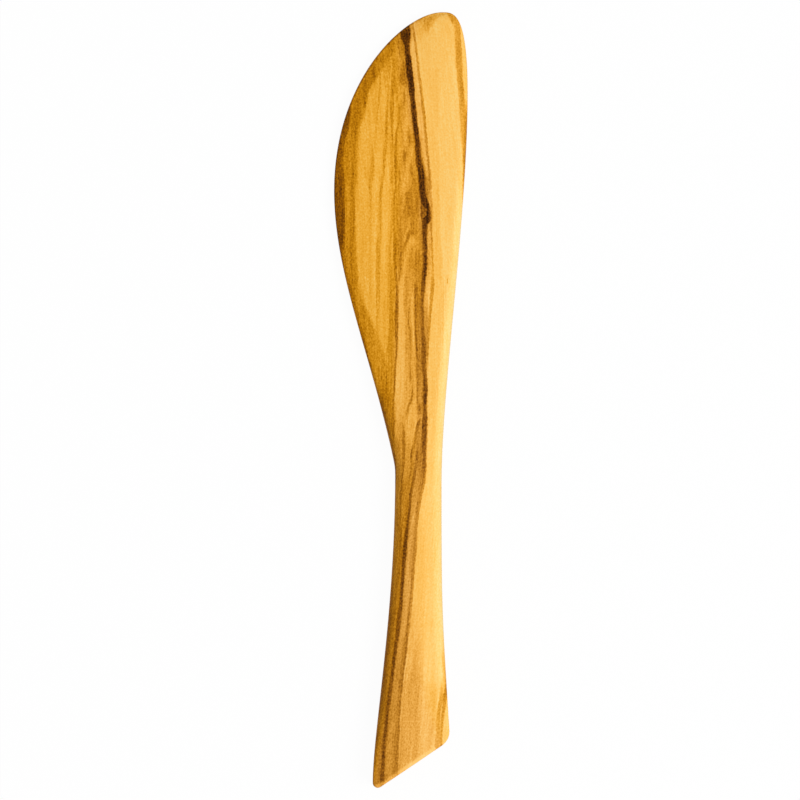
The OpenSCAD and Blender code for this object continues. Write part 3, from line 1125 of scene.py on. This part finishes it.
# The dark veins, what lies beside them, and the spine's side of the blade.
VEINS = (
    Streak("vein shade", 0.5, (0.9, 0.8), (
        (89, 0.2, 2.2, 0.8), (85, -0.6, 2.4, 0.8), (82.8, 0.2, 2, 0.7), (74.6, 1.2, 3.1, 0.75),
        (67.5, 2.05, 3.65, 0.7), (60, 2.9, 4.9, 0.7), (52.8, 3.5, 6, 0.9), (47.8, 3.8, 6.6, 0.9),
        (45.5, 4.2, 7, 0.9), (43, 4.5, 7.1, 0.8), (41, 4.4, 6.5, 0.8), (35, 4.85, 6.45, 0.55),
        (28, 4.5, 6.25, 0.5), (24, 4.4, 5.7, 0),
    )),
    Streak("shade between the veins", 0.5, (0.4, 0.3), (
        (60, 5, 5.6, 0), (55, 5.1, 6.25, 0.45), (52, 5.45, 6.75, 0.7), (48, 5.75, 6.85, 0.8),
        (46, 6.25, 7, 0.8), (44.6, 6.6, 7, 0),
    )),
    Streak("light between the veins", 0.78, (0.4, 0.3), (
        (89, 1.9, 2.5, 0), (84, 1.9, 2.8, 0.3), (80, 2.45, 3.45, 0.6), (75, 3.15, 4.15, 0.75),
        (70, 3.55, 4.85, 0.75), (65, 4.2, 5.4, 0.75), (60, 4.85, 5.85, 0.85), (55, 5.35, 6.15, 0.6),
        (52, 6, 6.5, 0),
    )),
    Streak("lower light strip", 0.8, (0.35, 0.3), (
        (42.2, 6.6, 6.9, 0), (40, 6.2, 7, 0.1), (34, 6.3, 7, 0.2), (30, 6.1, 7, 0.5), (26, 5.8, 6.9, 0.4),
        (20, 5.7, 6.6, 0.2), (16, 6, 6.3, 0),
    )),
    Streak("shade by the companion", 0.66, (0.3, 0.3), (
        (49, 6.2, 7.1, 0), (44, 6.6, 7.6, 0.7), (40, 6.2, 7.3, 0.8), (34, 6.1, 7, 0.8), (29, 6.2, 7, 0.4),
        (25, 6, 6.8, 0),
    )),
    Streak("shade right of the vein", 0.6, (0.3, 0.3), (
        (27, 5.5, 6.2, 0), (22, 5.2, 6.4, 0.5), (16, 5.3, 6.4, 0.8), (12, 5.4, 6.4, 0.8),
        (8, 5.8, 6.5, 0.3), (5, 6, 6.5, 0),
    )),
    Streak("wood in the bend", 0.33, (0.4, 0.5), (
        (46.4, 4.9, 5.3, 0), (45.4, 4.5, 5.6, 0.6), (44.4, 4.6, 6.2, 1), (43.5, 4.6, 6.1, 1),
        (42.6, 4.8, 5.6, 0.6), (41.8, 4.9, 5.3, 0),
    )),
    Streak("companion", 0.53, (0.3, 0.3), (
        (89, 1.95, 2.4, 1), (85, 2.65, 3.2, 1), (81.6, 3.2, 3.7, 0.9), (75.7, 3.95, 4.55, 1),
        (70, 4.65, 5.4, 1), (65, 5.25, 5.9, 1), (60, 5.7, 6.25, 0.95), (55, 6.15, 6.7, 1),
        (51, 6.65, 7.15, 0.95), (46, 6.9, 7.3, 0.7), (42, 6.75, 7.25, 0.7), (39, 6.9, 7.35, 0.95),
        (35, 7.1, 7.5, 0.85), (30, 7.15, 7.75, 0.6), (26, 6.95, 7.8, 0.85), (22, 6.65, 7.35, 0.75),
        (18, 6.35, 7.05, 0.9), (14, 6.1, 6.7, 0.8), (10, 6, 6.4, 0.6), (6, 5.9, 6.2, 0),
    )),
    Streak("main vein", 0.12, (0.45, 0.45), (
        (89, 0.5, 1.2, 1), (86.5, -0.5, 1.75, 1), (85, -0.45, 1.9, 1), (84.2, 0.05, 1.75, 0.9),
        (82.5, 0.55, 1.8, 0.9), (77, 1.1, 2.7, 0.95), (72, 1.9, 3.1, 0.9), (65, 2.7, 3.85, 0.9),
        (60, 3.2, 4.45, 0.9), (55, 3.6, 5, 0.9), (52.6, 4.1, 5.6, 0.9), (50, 4.25, 5.7, 1),
        (47.8, 4.35, 5.95, 0.9), (46.7, 4.65, 6.25, 0.9), (45.6, 4.8, 6.6, 0.9), (44.6, 6.05, 6.8, 0.95),
        (43.4, 6.05, 6.95, 0.9), (42.2, 5.1, 7.05, 0.9), (41, 5, 6.3, 0.75), (39.5, 5.05, 6.1, 0.7),
        (35, 5.3, 6.15, 0.65), (30, 5.15, 6, 0.75), (27, 4.9, 5.75, 0.65), (24, 4.7, 5.6, 0.45),
        (18, 4.5, 5.45, 0.35), (12, 4.85, 5.95, 0.5), (8, 4.85, 5.95, 0.5), (4, 5.2, 6.25, 0.55),
        (0, 5.3, 6.25, 0.7), (-4, 5.2, 6.25, 0.7), (-8, 4.95, 6.2, 0.65), (-11, 5, 6.15, 0.55),
        (-13, 5.2, 6.1, 0.5), (-16, 5.2, 6.05, 0.5), (-19.5, 5.1, 5.8, 0.2), (-22, 4.8, 5.4, 0),
    )),
    Streak("vein's right edge", 0.16, (0.3, 0.35), (
        (42, 5.9, 6.3, 0), (39, 5.6, 6.05, 0.45), (34, 5.65, 6.2, 0.6), (30, 5.55, 6.05, 0.6),
        (27, 5.2, 5.7, 0.3), (24, 5, 5.3, 0),
    )),
    Streak("spine ring", 0.66, (0.5, 0.3), (
        (91.2, 10.4, 12.8, 0.9), (89.6, 11, 13.1, 1), (87.5, 12.2, 13.6, 1), (83, 12.6, 14, 1),
        (77, 13, 14.4, 1), (72, 13.5, 14.75, 1), (68, 13.7, 15.5, 1), (64, 13.9, 15.6, 1),
        (58, 14.25, 15.5, 0.8), (50, 14.6, 15.6, 0.3), (44, 14.4, 15.6, 0),
    )),
    Streak("spine ring's dark side", 0.48, (0.4, 0.3), (
        (86, 13, 13.5, 0), (82, 13.2, 13.8, 0.3), (76, 13.7, 14.3, 0.5), (72, 14.1, 14.6, 0.7),
        (67, 14.6, 15.1, 0),
    )),
    Streak("spine edge line", 0.48, (0.3, 0.3), (
        (68, 14.8, 20, 0), (65, 14.6, 20, 0.8), (60, 14.45, 20, 0.9), (54, 14.25, 20, 0.8),
        (49, 14.05, 20, 0.6), (45, 14, 20, 0.3), (40, 13.6, 20, 0),
    )),
    # Painted highlight on the rounded edge of the spine near the tip.
    Streak("spine light", 0.9, (0.3, 0.3), (
        (91, 13.1, 20, 0), (88.5, 13.7, 20, 0.3), (86, 13.9, 20, 0.8), (80, 14.3, 20, 0.9),
        (74, 14.65, 20, 1), (70.5, 14.75, 20, 0.7), (67.5, 14.9, 20, 0),
    )),
    Streak("tip patch", 0.62, (0.5, 0.7), (
        (90.6, 5, 7, 0), (89.4, 5.1, 7.1, 0.8), (88.4, 5, 6.6, 1), (87.2, 5.3, 6.4, 0.65),
        (85, 5.7, 6.2, 0),
    )),
    Streak("tip shade", 0.7, (0.3, 0.8), (
        (91, 2.8, 12, 0.4), (90, 2.9, 9, 0.5), (89, 2.9, 8, 0.6), (87.6, 2.9, 7.2, 0.5), (86, 3.2, 5, 0.4),
        (83, 3.8, 4.4, 0),
    )),
    Streak("nick", 0.5, (0.12, 0.12), (
        (28.9, 10.9, 11, 0), (28.3, 10.8, 11.05, 0.45), (27.3, 10.75, 11, 0.6), (26.9, 10.7, 10.9, 0),
    )),
)

# The handle, the thin lines along the borders of the knife, painted shade along the left edge and a
# painted highlight along the cut.
HANDLE = (
    Streak("handle edge", 0.52, (0.3, 0.4), (
        (-9, -20, -0.6, 0), (-13, -20, 0.1, 0.7), (-18, -20, 0.2, 1), (-22, -20, 0.9, 0.9),
        (-26, -20, 1.5, 0.9), (-30, -20, 1.2, 1), (-35, -20, 0.8, 1), (-40, -20, 0.3, 1),
        (-50, -20, -0.6, 1), (-60, -20, -2, 1), (-70, -20, -3.2, 1), (-80, -20, -4.3, 1),
        (-91, -20, -5.1, 1),
    )),
    Streak("outer edge", 0.41, (0.3, 0.4), (
        (-42, -20, -1.6, 0), (-49, -20, -1.9, 0.8), (-55, -20, -2.4, 0.9), (-60, -20, -3, 0.9),
        (-65, -20, -3.5, 0.9), (-70, -20, -4, 0.8), (-75, -20, -4.8, 0.6), (-80, -20, -5.4, 0.5),
        (-88, -20, -6.2, 0),
    )),
    Streak("shade between the lines", 0.5, (0.6, 0.6), (
        (-14, 0.6, 2, 0), (-19, 0.2, 2.1, 0.5), (-23, -0.1, 2, 1), (-28, -0.3, 1.5, 1),
        (-33, -0.5, 1, 0.9), (-39, -0.8, 0.3, 0),
    )),
    Streak("edge line", 0.4, (0.3, 0.3), (
        (-5, 0.1, 0.4, 0), (-7, 0.35, 0.85, 0.5), (-10, 0.2, 1.05, 0.75), (-12, 0.3, 1, 1),
        (-15, 0.35, 0.95, 0.85), (-20, -0.2, 0.3, 0.95), (-25, -0.35, 0.1, 1), (-30, -0.5, 0.1, 1),
        (-35, -0.5, 0.3, 0.75), (-40, -0.8, -0.2, 0.6), (-46, -1.35, -0.95, 0.3), (-52, -1.7, -1.4, 0),
    )),
    Streak("edge light", 0.54, (0.3, 0.3), (
        (-46, -1.6, -1, 0), (-51, -2.05, -1.15, 0.65), (-60, -3, -2.3, 0.4), (-70, -3.6, -3.4, 0.2),
        (-78, -5.4, -4.8, 0.55), (-91, -6.2, -5.2, 0.8),
    )),
    Streak("main handle line", 0.24, (0.45, 0.4), (
        (-11, 3.9, 4.3, 0), (-13, 3.5, 4.05, 0.4), (-16, 3.3, 3.9, 0.5), (-20, 2.45, 3.1, 0.65),
        (-25, 1.85, 2.6, 0.75), (-31, 1.1, 1.95, 0.85), (-35, 0.45, 1.6, 0.9), (-40, 0.15, 1, 0.85),
        (-45, -0.1, 0.55, 1), (-50, -0.8, 0.25, 0.95), (-55, -1.45, -0.35, 1), (-60, -2.1, -1.15, 1),
        (-70, -3.45, -2.4, 0.7), (-80, -4.5, -3.6, 0.8), (-91, -5.2, -4.2, 0.95),
    )),
    Streak("light by the line", 0.73, (0.3, 0.4), (
        (-13, 2.8, 3.3, 0), (-17, 3.65, 4.25, 0.4), (-22, 3.2, 4, 0.4), (-28, 2.4, 3.4, 0.5),
        (-40, 1.35, 2.65, 0.6), (-50, 0.5, 1.6, 0.45), (-60, -1, 0.2, 0),
    )),
    Streak("second handle line", 0.46, (0.3, 0.25), (
        (-17, 5, 5.7, 0), (-19, 4.75, 5.85, 0.7), (-21, 4.2, 5.5, 0.7), (-23, 4, 5.1, 0.8),
        (-26, 3.7, 4.6, 0.9), (-30, 3.4, 4.1, 0.8), (-35, 2.95, 3.8, 0.7), (-40, 2.65, 3.35, 0.7),
        (-50, 1.7, 2.6, 0.65), (-60, 0.15, 1.35, 0.9), (-70, -0.85, 0, 1), (-80, -1.7, -0.45, 1),
        (-91, -1.9, -1.1, 1),
    )),
    Streak("second line's core", 0.4, (0.3, 0.2), (
        (-38, 2.4, 2.75, 0), (-42, 2.4, 2.75, 0.7), (-47, 2.1, 2.5, 0.3), (-54, 1.3, 1.8, 0.5),
        (-60, 0.8, 1.25, 0.8), (-65, 0, 0.45, 0.7), (-70, -0.4, -0.05, 0.8), (-78, -1, -0.7, 0),
    )),
    Streak("fine sapwood line", 0.84, (0.25, 0.25), (
        (-42, 5.4, 5.8, 0), (-46, 5.2, 5.7, 0.5), (-52, 5.1, 5.5, 0.7), (-58, 4.8, 5.2, 0.4),
        (-63, 4.6, 4.9, 0),
    )),
    Streak("left handle line", 0.38, (0.4, 0.4), (
        (-27, -1.1, -0.8, 0), (-33, -1.05, -0.6, 0.45), (-40, -1.6, -1.1, 0.4), (-47, -1.8, -1.3, 0.45),
        (-54, -2.4, -2, 0),
    )),
    # Painted highlight along the slanted cut of the heel, which also paints the cut's own face paler.
    Streak("light along the cut", 0.96, (1.2, 1), (
        (-81.5, 7.6, 20, 0), (-82.5, 5.8, 20, 0.8), (-85, 2.1, 20, 0.8), (-87, -0.8, 20, 0.5),
        (-89, -3.6, 20, 0.45), (-90.2, -5.8, 20, 0.45), (-91.6, -9, 20, 0.45),
    )),
    Streak("heel's right edge", 0.72, (0.6, 0.3), (
        (-54, 9, 20, 0), (-58, 9.25, 20, 0.4), (-61, 9.35, 20, 0.6), (-65, 9.65, 20, 0.7),
        (-68, 9.9, 20, 0.5), (-71, 10.1, 20, 0),
    )),
    Streak("blade sapwood line", 0.82, (0.3, 0.3), (
        (57, 8.5, 8.7, 0), (50, 8.5, 8.85, 0.45), (40, 8.8, 9.15, 0.45), (33, 9.4, 9.7, 0.25),
        (24, 9.8, 10.1, 0.6), (12, 9.6, 9.9, 0.45), (5, 9.5, 9.7, 0),
    )),
    # Painted shade in a thin band along the left border, from the tip down to the heel.
    Streak("dark outline", 0.24, (0.3, 0.45), (
        (90, 4.6, 5.4, 0.2), (84, -3.5, -2.7, 0.35), (78, -8.2, -7.4, 0.3), (72, -11.7, -10.85, 0.35),
        (66, -14, -13.15, 0.4), (60, -15.6, -14.75, 0.5), (54, -16.4, -15.55, 0.5),
        (48, -16.6, -15.75, 0.3), (42, -16.2, -15.35, 0.35), (36, -15.5, -14.65, 0.35),
        (24, -12.3, -11.45, 0.35), (12, -9.4, -8.5, 0.5), (0, -5.8, -5, 0.25), (-12, -2.6, -1.85, 0.25),
        (-14.5, -2.4, -1.6, 0.8), (-18, -2.3, -1.6, 0.7), (-22, -2.3, -1.6, 0.35), (-30, -2.4, -1.6, 0.15),
        (-42, -2.8, -1.9, 0.2), (-54, -4, -3.2, 0.2), (-66, -5.3, -4.35, 0.25), (-78, -6.3, -5.5, 0.2),
        (-91, -7.8, -7, 0.1),
    )),
    Streak("heel line", 0.48, (0.35, 0.3), (
        (-62, 9.9, 10.3, 0), (-65, 9.95, 10.4, 0.5), (-67, 9.95, 10.5, 0.8), (-69, 9.75, 10.4, 0.9),
        (-72, 9.5, 10.2, 0.9), (-75, 9.2, 9.85, 0.8), (-78, 9.05, 9.6, 0.8), (-84, 8.6, 9.3, 0.8),
    )),
    Streak("heel line's shade", 0.62, (0.4, 0.3), (
        (-65, 9.3, 9.8, 0), (-70, 8.8, 9.6, 0.7), (-74, 8.15, 9.05, 0.9), (-78, 7.95, 8.95, 0.75),
        (-84, 7.8, 8.7, 0.8),
    )),
)

FIGURE = GROUNDS + BLADE + KNOT + NECK + VEINS + HANDLE

# Where the wood is more golden or more brown than the rest.
BROWNNESS = (
    Streak("golden blade", 0, (0.3, 1.6), (
        (91, -20, -2, 0.8), (80, -20, -1, 0.9), (66, -20, 0, 1), (30, -20, -0.8, 1), (4, -20, -2, 0.9),
        (-4, -20, -1.8, 0.5), (-12, -20, -1.4, 0),
    )),
    Streak("brown by the veins", 0.8, (0.8, 1), (
        (91, 1, 4.2, 0.8), (84, 0.6, 3.4, 0.6), (75, 1, 4.4, 0.7), (65, 2, 5.4, 0.7),
        (55, 4.85, 6.75, 0.6), (45, 4.2, 7.4, 0.8), (30, 5.15, 6.75, 0.6), (20, 4.2, 6.6, 0.7),
        (8, 3.4, 6.4, 0.8), (-8, 3.6, 6.4, 0.9), (-16, 3, 6, 1), (-22, 2.8, 5.4, 0.8), (-28, 2.4, 4.4, 0),
    )),
    Streak("brown neck", 0.5, (0.8, 1), (
        (32, -1.2, 5, 0), (24, -1.2, 4, 0.6), (6, -1.4, 3.8, 0.9), (-10, -1.4, 3.6, 1),
        (-20, -1.2, 2.4, 0.6), (-32, -1.6, 0.5, 0),
    )),
    Streak("brown handle", 0.85, (0.6, 0.8), (
        (-20, 2, 4.8, 0), (-26, 1.8, 4.4, 0.8), (-38, 0.6, 3.5, 1), (-50, -0.4, 2.5, 1),
        (-60, -1.6, 1.6, 0.9), (-72, -3.6, 0.4, 0.9), (-91, -6.6, -0.8, 0.9),
    )),
    Streak("brown heel", 0.8, (0.8, 3), (
        (-44, 1.6, 3.6, 0), (-58, 1, 5, 0.7), (-70, -0.4, 6, 0.9), (-80, -1, 9, 1), (-91, -1.4, 12, 1),
    )),
)

# The palettes hold the wood's colours from tone 0 upwards, one for each step of this size.
TONE_STEP = 0.1

GOLDEN = (
    (30, 12, 0), (65, 33, 0), (104, 57, 0), (141, 82, 0), (169, 104, 0), (197, 127, 4),
    (218, 147, 22), (235, 164, 42), (246, 179, 62), (253, 195, 90), (253, 213, 124), (250, 227, 160),
)

BROWN = (
    (30, 11, 0), (65, 32, 2), (104, 56, 6), (139, 83, 14), (166, 104, 24), (191, 127, 38),
    (212, 147, 56), (230, 164, 72), (243, 180, 90), (252, 197, 112), (253, 213, 138), (251, 228, 170),
)


@dataclass(frozen=True)
class Fibre:
    """Noise of the wood, stretched along the grain, with its lengths in millimetres."""

    across: float
    along: float
    detail: float
    strength: float


@dataclass(frozen=True)
class OliveWood:
    """Oiled olive wood: a drawn figure, long fibres, pores and a satin finish.

    The curves that draw the figure span its reach to both sides and its half length both ways.
    The figure leans to the side by its tilt from the upper face down, and that face's height
    falls by its slope towards the tip. Wavers bend the streaks, and fibres cross them along a
    drift of places to the side. From one tone to another the fibres fade to a share of their
    strength. All lengths are in millimetres, except the bump's depth, which is in metres.
    """

    reach: float = 20.0
    half_length: float = 92.0
    tilt: float = 0.3
    face_level: float = 5.6
    face_slope: float = -0.024
    sap_tone: float = 0.93
    plain_brown: float = 0.27
    fade_tones: tuple[float, float] = (0.72, 0.9)
    fade_share: float = 0.4
    roughness: float = 0.55
    ior: float = 1.45
    specular: float = 0.06
    bump_strength: float = 0.12
    bump_depth: float = 0.0002
    drift: tuple[tuple[float, float], ...] = (
        (-91, -4.0), (-60, -1.2), (-30, 1.6), (-14, 4.0), (0, 5.4), (40, 5.6), (60, 4.2), (91, 1.0),
    )
    wavers: tuple[Fibre, ...] = (
        Fibre(across=5.0, along=22.0, detail=1.0, strength=0.3),
        Fibre(across=1.2, along=3.5, detail=1.0, strength=0.22),
        Fibre(across=0.25, along=0.8, detail=0.0, strength=0.3),
    )
    fibres: tuple[Fibre, ...] = (
        Fibre(across=2.2, along=60.0, detail=1.0, strength=0.2),
        Fibre(across=0.5, along=14.0, detail=1.0, strength=0.25),
        Fibre(across=0.25, along=5.0, detail=1.0, strength=0.22),
        Fibre(across=0.3, along=0.45, detail=0.0, strength=0.35),
    )

    def material(self) -> bpy.types.Material:
        """Builds the finish.

        Returns:
            The material.
        """
        material = bpy.data.materials.new("oiled_olive_wood")
        material.use_nodes = True
        material.node_tree.nodes.clear()
        graph = Graph(material.node_tree)
        coordinates = graph.node("ShaderNodeTexCoord", {}, {})
        x, y, z = (coordinates.out("Object") * (1 / MM)).parts()
        plain = x + (z - self.face_level - y * self.face_slope) * self.tilt
        shift: Any = 0.0
        for waver in self.wavers:
            shift = self._noise(graph, (plain, y, z), waver) + shift
        across = plain + shift
        side = self._side(across)
        height = self._share(y + shift)
        along = graph.node("ShaderNodeCombineColor", {}, {0: height, 1: height, 2: height})
        tone: Any = self.sap_tone
        for streak in FIGURE:
            tone = self._painted(graph, tone, along, side, streak)
        brown: Any = self.plain_brown
        for streak in BROWNNESS:
            brown = self._painted(graph, brown, along, side, streak)
        grain_x = across - self._drift(graph, height)
        grain: Any = 0.0
        for fibre in self.fibres:
            grain = self._noise(graph, (grain_x, y, z), fibre) + grain
        tone = tone + grain * tone.span(*self.fade_tones, 1.0, self.fade_share)
        relief = {"Strength": self.bump_strength, "Distance": self.bump_depth, "Height": grain}
        surface = graph.node("ShaderNodeBsdfPrincipled", {}, {
            "Base Color": graph.mix(
                brown, self._ramp(graph, tone, GOLDEN), self._ramp(graph, tone, BROWN)
            ),
            "Roughness": self.roughness,
            "IOR": self.ior,
            "Specular IOR Level": self.specular,
            "Normal": graph.node("ShaderNodeBump", {}, relief),
        })
        graph.node("ShaderNodeOutputMaterial", {}, {"Surface": surface})
        return material

    @staticmethod
    def _noise(graph: Graph, place: tuple[Term, Term, Term], fibre: Fibre) -> Term:
        """Noise stretched along the grain.

        Args:
            graph: Graph that gets the nodes.
            place: Place across the grain, along it and through the thickness, in millimetres.
            fibre: The noise's size, detail and strength.

        Returns:
            The noise, about 0.
        """
        across, along, deep = place
        stretched = graph.vector(across / fibre.across, along / fibre.along, deep / fibre.across)
        sockets = {"Vector": stretched, "Scale": 1.0, "Detail": fibre.detail}
        noise = graph.node("ShaderNodeTexNoise", {}, sockets)
        return noise.span(0.0, 1.0, -fibre.strength / 2, fibre.strength / 2)

    @staticmethod
    def _ramp(graph: Graph, tone: Term, palette: Sequence[tuple[int, int, int]]) -> Term:
        """The colour of a tone.

        Args:
            graph: Graph that gets the nodes.
            tone: Tone of the wood.
            palette: The colours of all tones, the darkest first.

        Returns:
            The colour.
        """
        last = len(palette) - 1
        stops = [(step / last, colour(*screen)) for step, screen in enumerate(palette)]
        return graph.node("ShaderNodeValToRGB", {"stops": stops}, {0: tone / (last * TONE_STEP)})

    def _drift(self, graph: Graph, height: Term) -> Term:
        """How far the grain lies to the side.

        Args:
            graph: Graph that gets the nodes.
            height: Share of the way from the heel to the tip.

        Returns:
            The distance at each height, in millimetres.
        """
        points = [(self._share(place), self._side(value)) for place, value in self.drift]
        node = graph.node("ShaderNodeFloatCurve", {"curves": [points]}, {"Value": height})
        return (node - 0.5) * (2 * self.reach)

    def _share(self, height: Any) -> Any:
        """Share of the way from the heel to the tip of a height along the knife."""
        return height / (2 * self.half_length) + 0.5

    def _side(self, distance: Any) -> Any:
        """Share of the way across the curves of a distance to the side."""
        return distance / (2 * self.reach) + 0.5

    def _painted(self, graph: Graph, value: Any, along: Term, side: Term, streak: Streak) -> Term:
        """The wood's tone or brownness with one streak over it.

        Args:
            graph: Graph that gets the nodes.
            value: Tone or brownness of the wood before.
            along: Share of the way from the heel to the tip, three times over, for the three curves.
            side: Share of the way across the curves.
            streak: The streak.

        Returns:
            The tone or brownness after.
        """
        path = sorted(streak.path)
        places = [self._share(point[0]) for point in path]
        left = list(zip(places, [self._side(point[1]) for point in path]))
        right = list(zip(places, [self._side(point[2]) for point in path]))
        strength = list(zip(places, [point[3] for point in path]))
        settings = {"label": streak.name, "curves": [left, right, strength]}
        both = graph.node("ShaderNodeRGBCurve", settings, {"Color": along})
        split = graph.node("ShaderNodeSeparateColor", {}, {0: both})
        soft_left, soft_right = [soft / (4 * self.reach) for soft in streak.soft]
        inside = (side - split).span(-soft_left, soft_left, flow=Flow.SMOOTH)
        before = (split.out(1) - side).span(-soft_right, soft_right, flow=Flow.SMOOTH)
        share = inside * before * split.out(2)
        return share * (streak.value - value) + value


@dataclass(frozen=True)
class Studio:
    """White floor, a soft lamp, even light from all sides, and the camera over the knife.

    Lengths are in metres, the lens and its sensor in millimetres, and the lamp's power in watts.
    """

    floor_size: float = 3.0
    floor_drop: float = 0.0002
    floor_grey: float = 0.55
    glow_strength: float = 1.03
    glow_share: float = 0.93
    lamp_place: tuple[float, float, float] = (1.1, -0.45, 1.6)
    lamp_side: float = 1.0
    lamp_power: float = 24.5
    sky_strength: float = 0.52
    view_width: float = 0.187895
    view_centre: tuple[float, float] = (-0.00021, -0.0002)
    view_level: float = 0.003
    lens: float = 200.0
    sensor: float = 36.0

    def build(self) -> None:
        """Makes the floor, the lamp, the world and the camera."""
        self._floor()
        self._lamp()
        self._world()
        self._camera()

    def _floor(self) -> None:
        """A pale floor that the camera sees nearly white, with the knife's shadow kept."""
        half = self.floor_size / 2
        mesh = bpy.data.meshes.new("floor")
        corners = [(-half, -half), (half, -half), (half, half), (-half, half)]
        mesh.from_pydata([(x, y, -self.floor_drop) for x, y in corners], [], [(0, 1, 2, 3)])
        floor = bpy.data.objects.new("floor", mesh)
        bpy.context.scene.collection.objects.link(floor)
        material = bpy.data.materials.new("white_floor")
        material.use_nodes = True
        material.node_tree.nodes.clear()
        graph = Graph(material.node_tree)
        grey = (self.floor_grey, self.floor_grey, self.floor_grey, 1.0)
        paper = graph.node("ShaderNodeBsdfDiffuse", {}, {"Color": grey})
        glow = graph.node("ShaderNodeEmission", {}, {"Color": WHITE, "Strength": self.glow_strength})
        path = graph.node("ShaderNodeLightPath", {}, {})
        camera, glossy = path.out("Is Camera Ray"), path.out("Is Glossy Ray")
        seen = camera.max(glossy).max(path.out("Is Transmission Ray"))
        surface = graph.node("ShaderNodeMixShader", {}, {0: seen * self.glow_share, 1: paper, 2: glow})
        graph.node("ShaderNodeOutputMaterial", {}, {"Surface": surface})
        mesh.materials.append(material)

    def _lamp(self) -> None:
        """A square soft lamp that faces the knife."""
        light = bpy.data.lights.new("key", "AREA")
        light.size, light.energy = self.lamp_side, self.lamp_power
        lamp = bpy.data.objects.new("key", light)
        lamp.location = self.lamp_place
        lamp.rotation_euler = (-Vector(self.lamp_place)).to_track_quat("-Z", "Y").to_euler()
        bpy.context.scene.collection.objects.link(lamp)

    def _world(self) -> None:
        """Even white light from all sides."""
        world = bpy.data.worlds.new("studio")
        world.use_nodes = True
        world.node_tree.nodes.clear()
        graph = Graph(world.node_tree)
        sky = graph.node("ShaderNodeBackground", {}, {"Color": WHITE, "Strength": self.sky_strength})
        graph.node("ShaderNodeOutputWorld", {}, {"Surface": sky})
        bpy.context.scene.world = world

    def _camera(self) -> None:
        """The camera straight above the knife, with the tip at the top of the picture."""
        data = bpy.data.cameras.new("camera")
        data.lens, data.sensor_width = self.lens, self.sensor
        camera = bpy.data.objects.new("camera", data)
        camera.location = (*self.view_centre, self.view_level + self.view_width * self.lens / self.sensor)
        bpy.context.scene.collection.objects.link(camera)
        bpy.context.scene.camera = camera
        bpy.context.scene.view_settings.view_transform = "Standard"


def main() -> None:
    """Builds the knife and the studio, and reports each piece."""
    logging.basicConfig(level=logging.INFO, format="%(message)s")
    finish = OliveWood().material()
    knife = KnifeBody(KnifeSizes(), MeshSteps(), Leans()).build("olive_wood_knife", finish)
    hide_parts("knife")
    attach(knife, "root")
    LOG.info("%s: %d faces", knife.name, len(knife.data.polygons))
    Studio().build()
    LOG.info("studio: floor, lamp and camera")


if __name__ == "__main__":
    main()
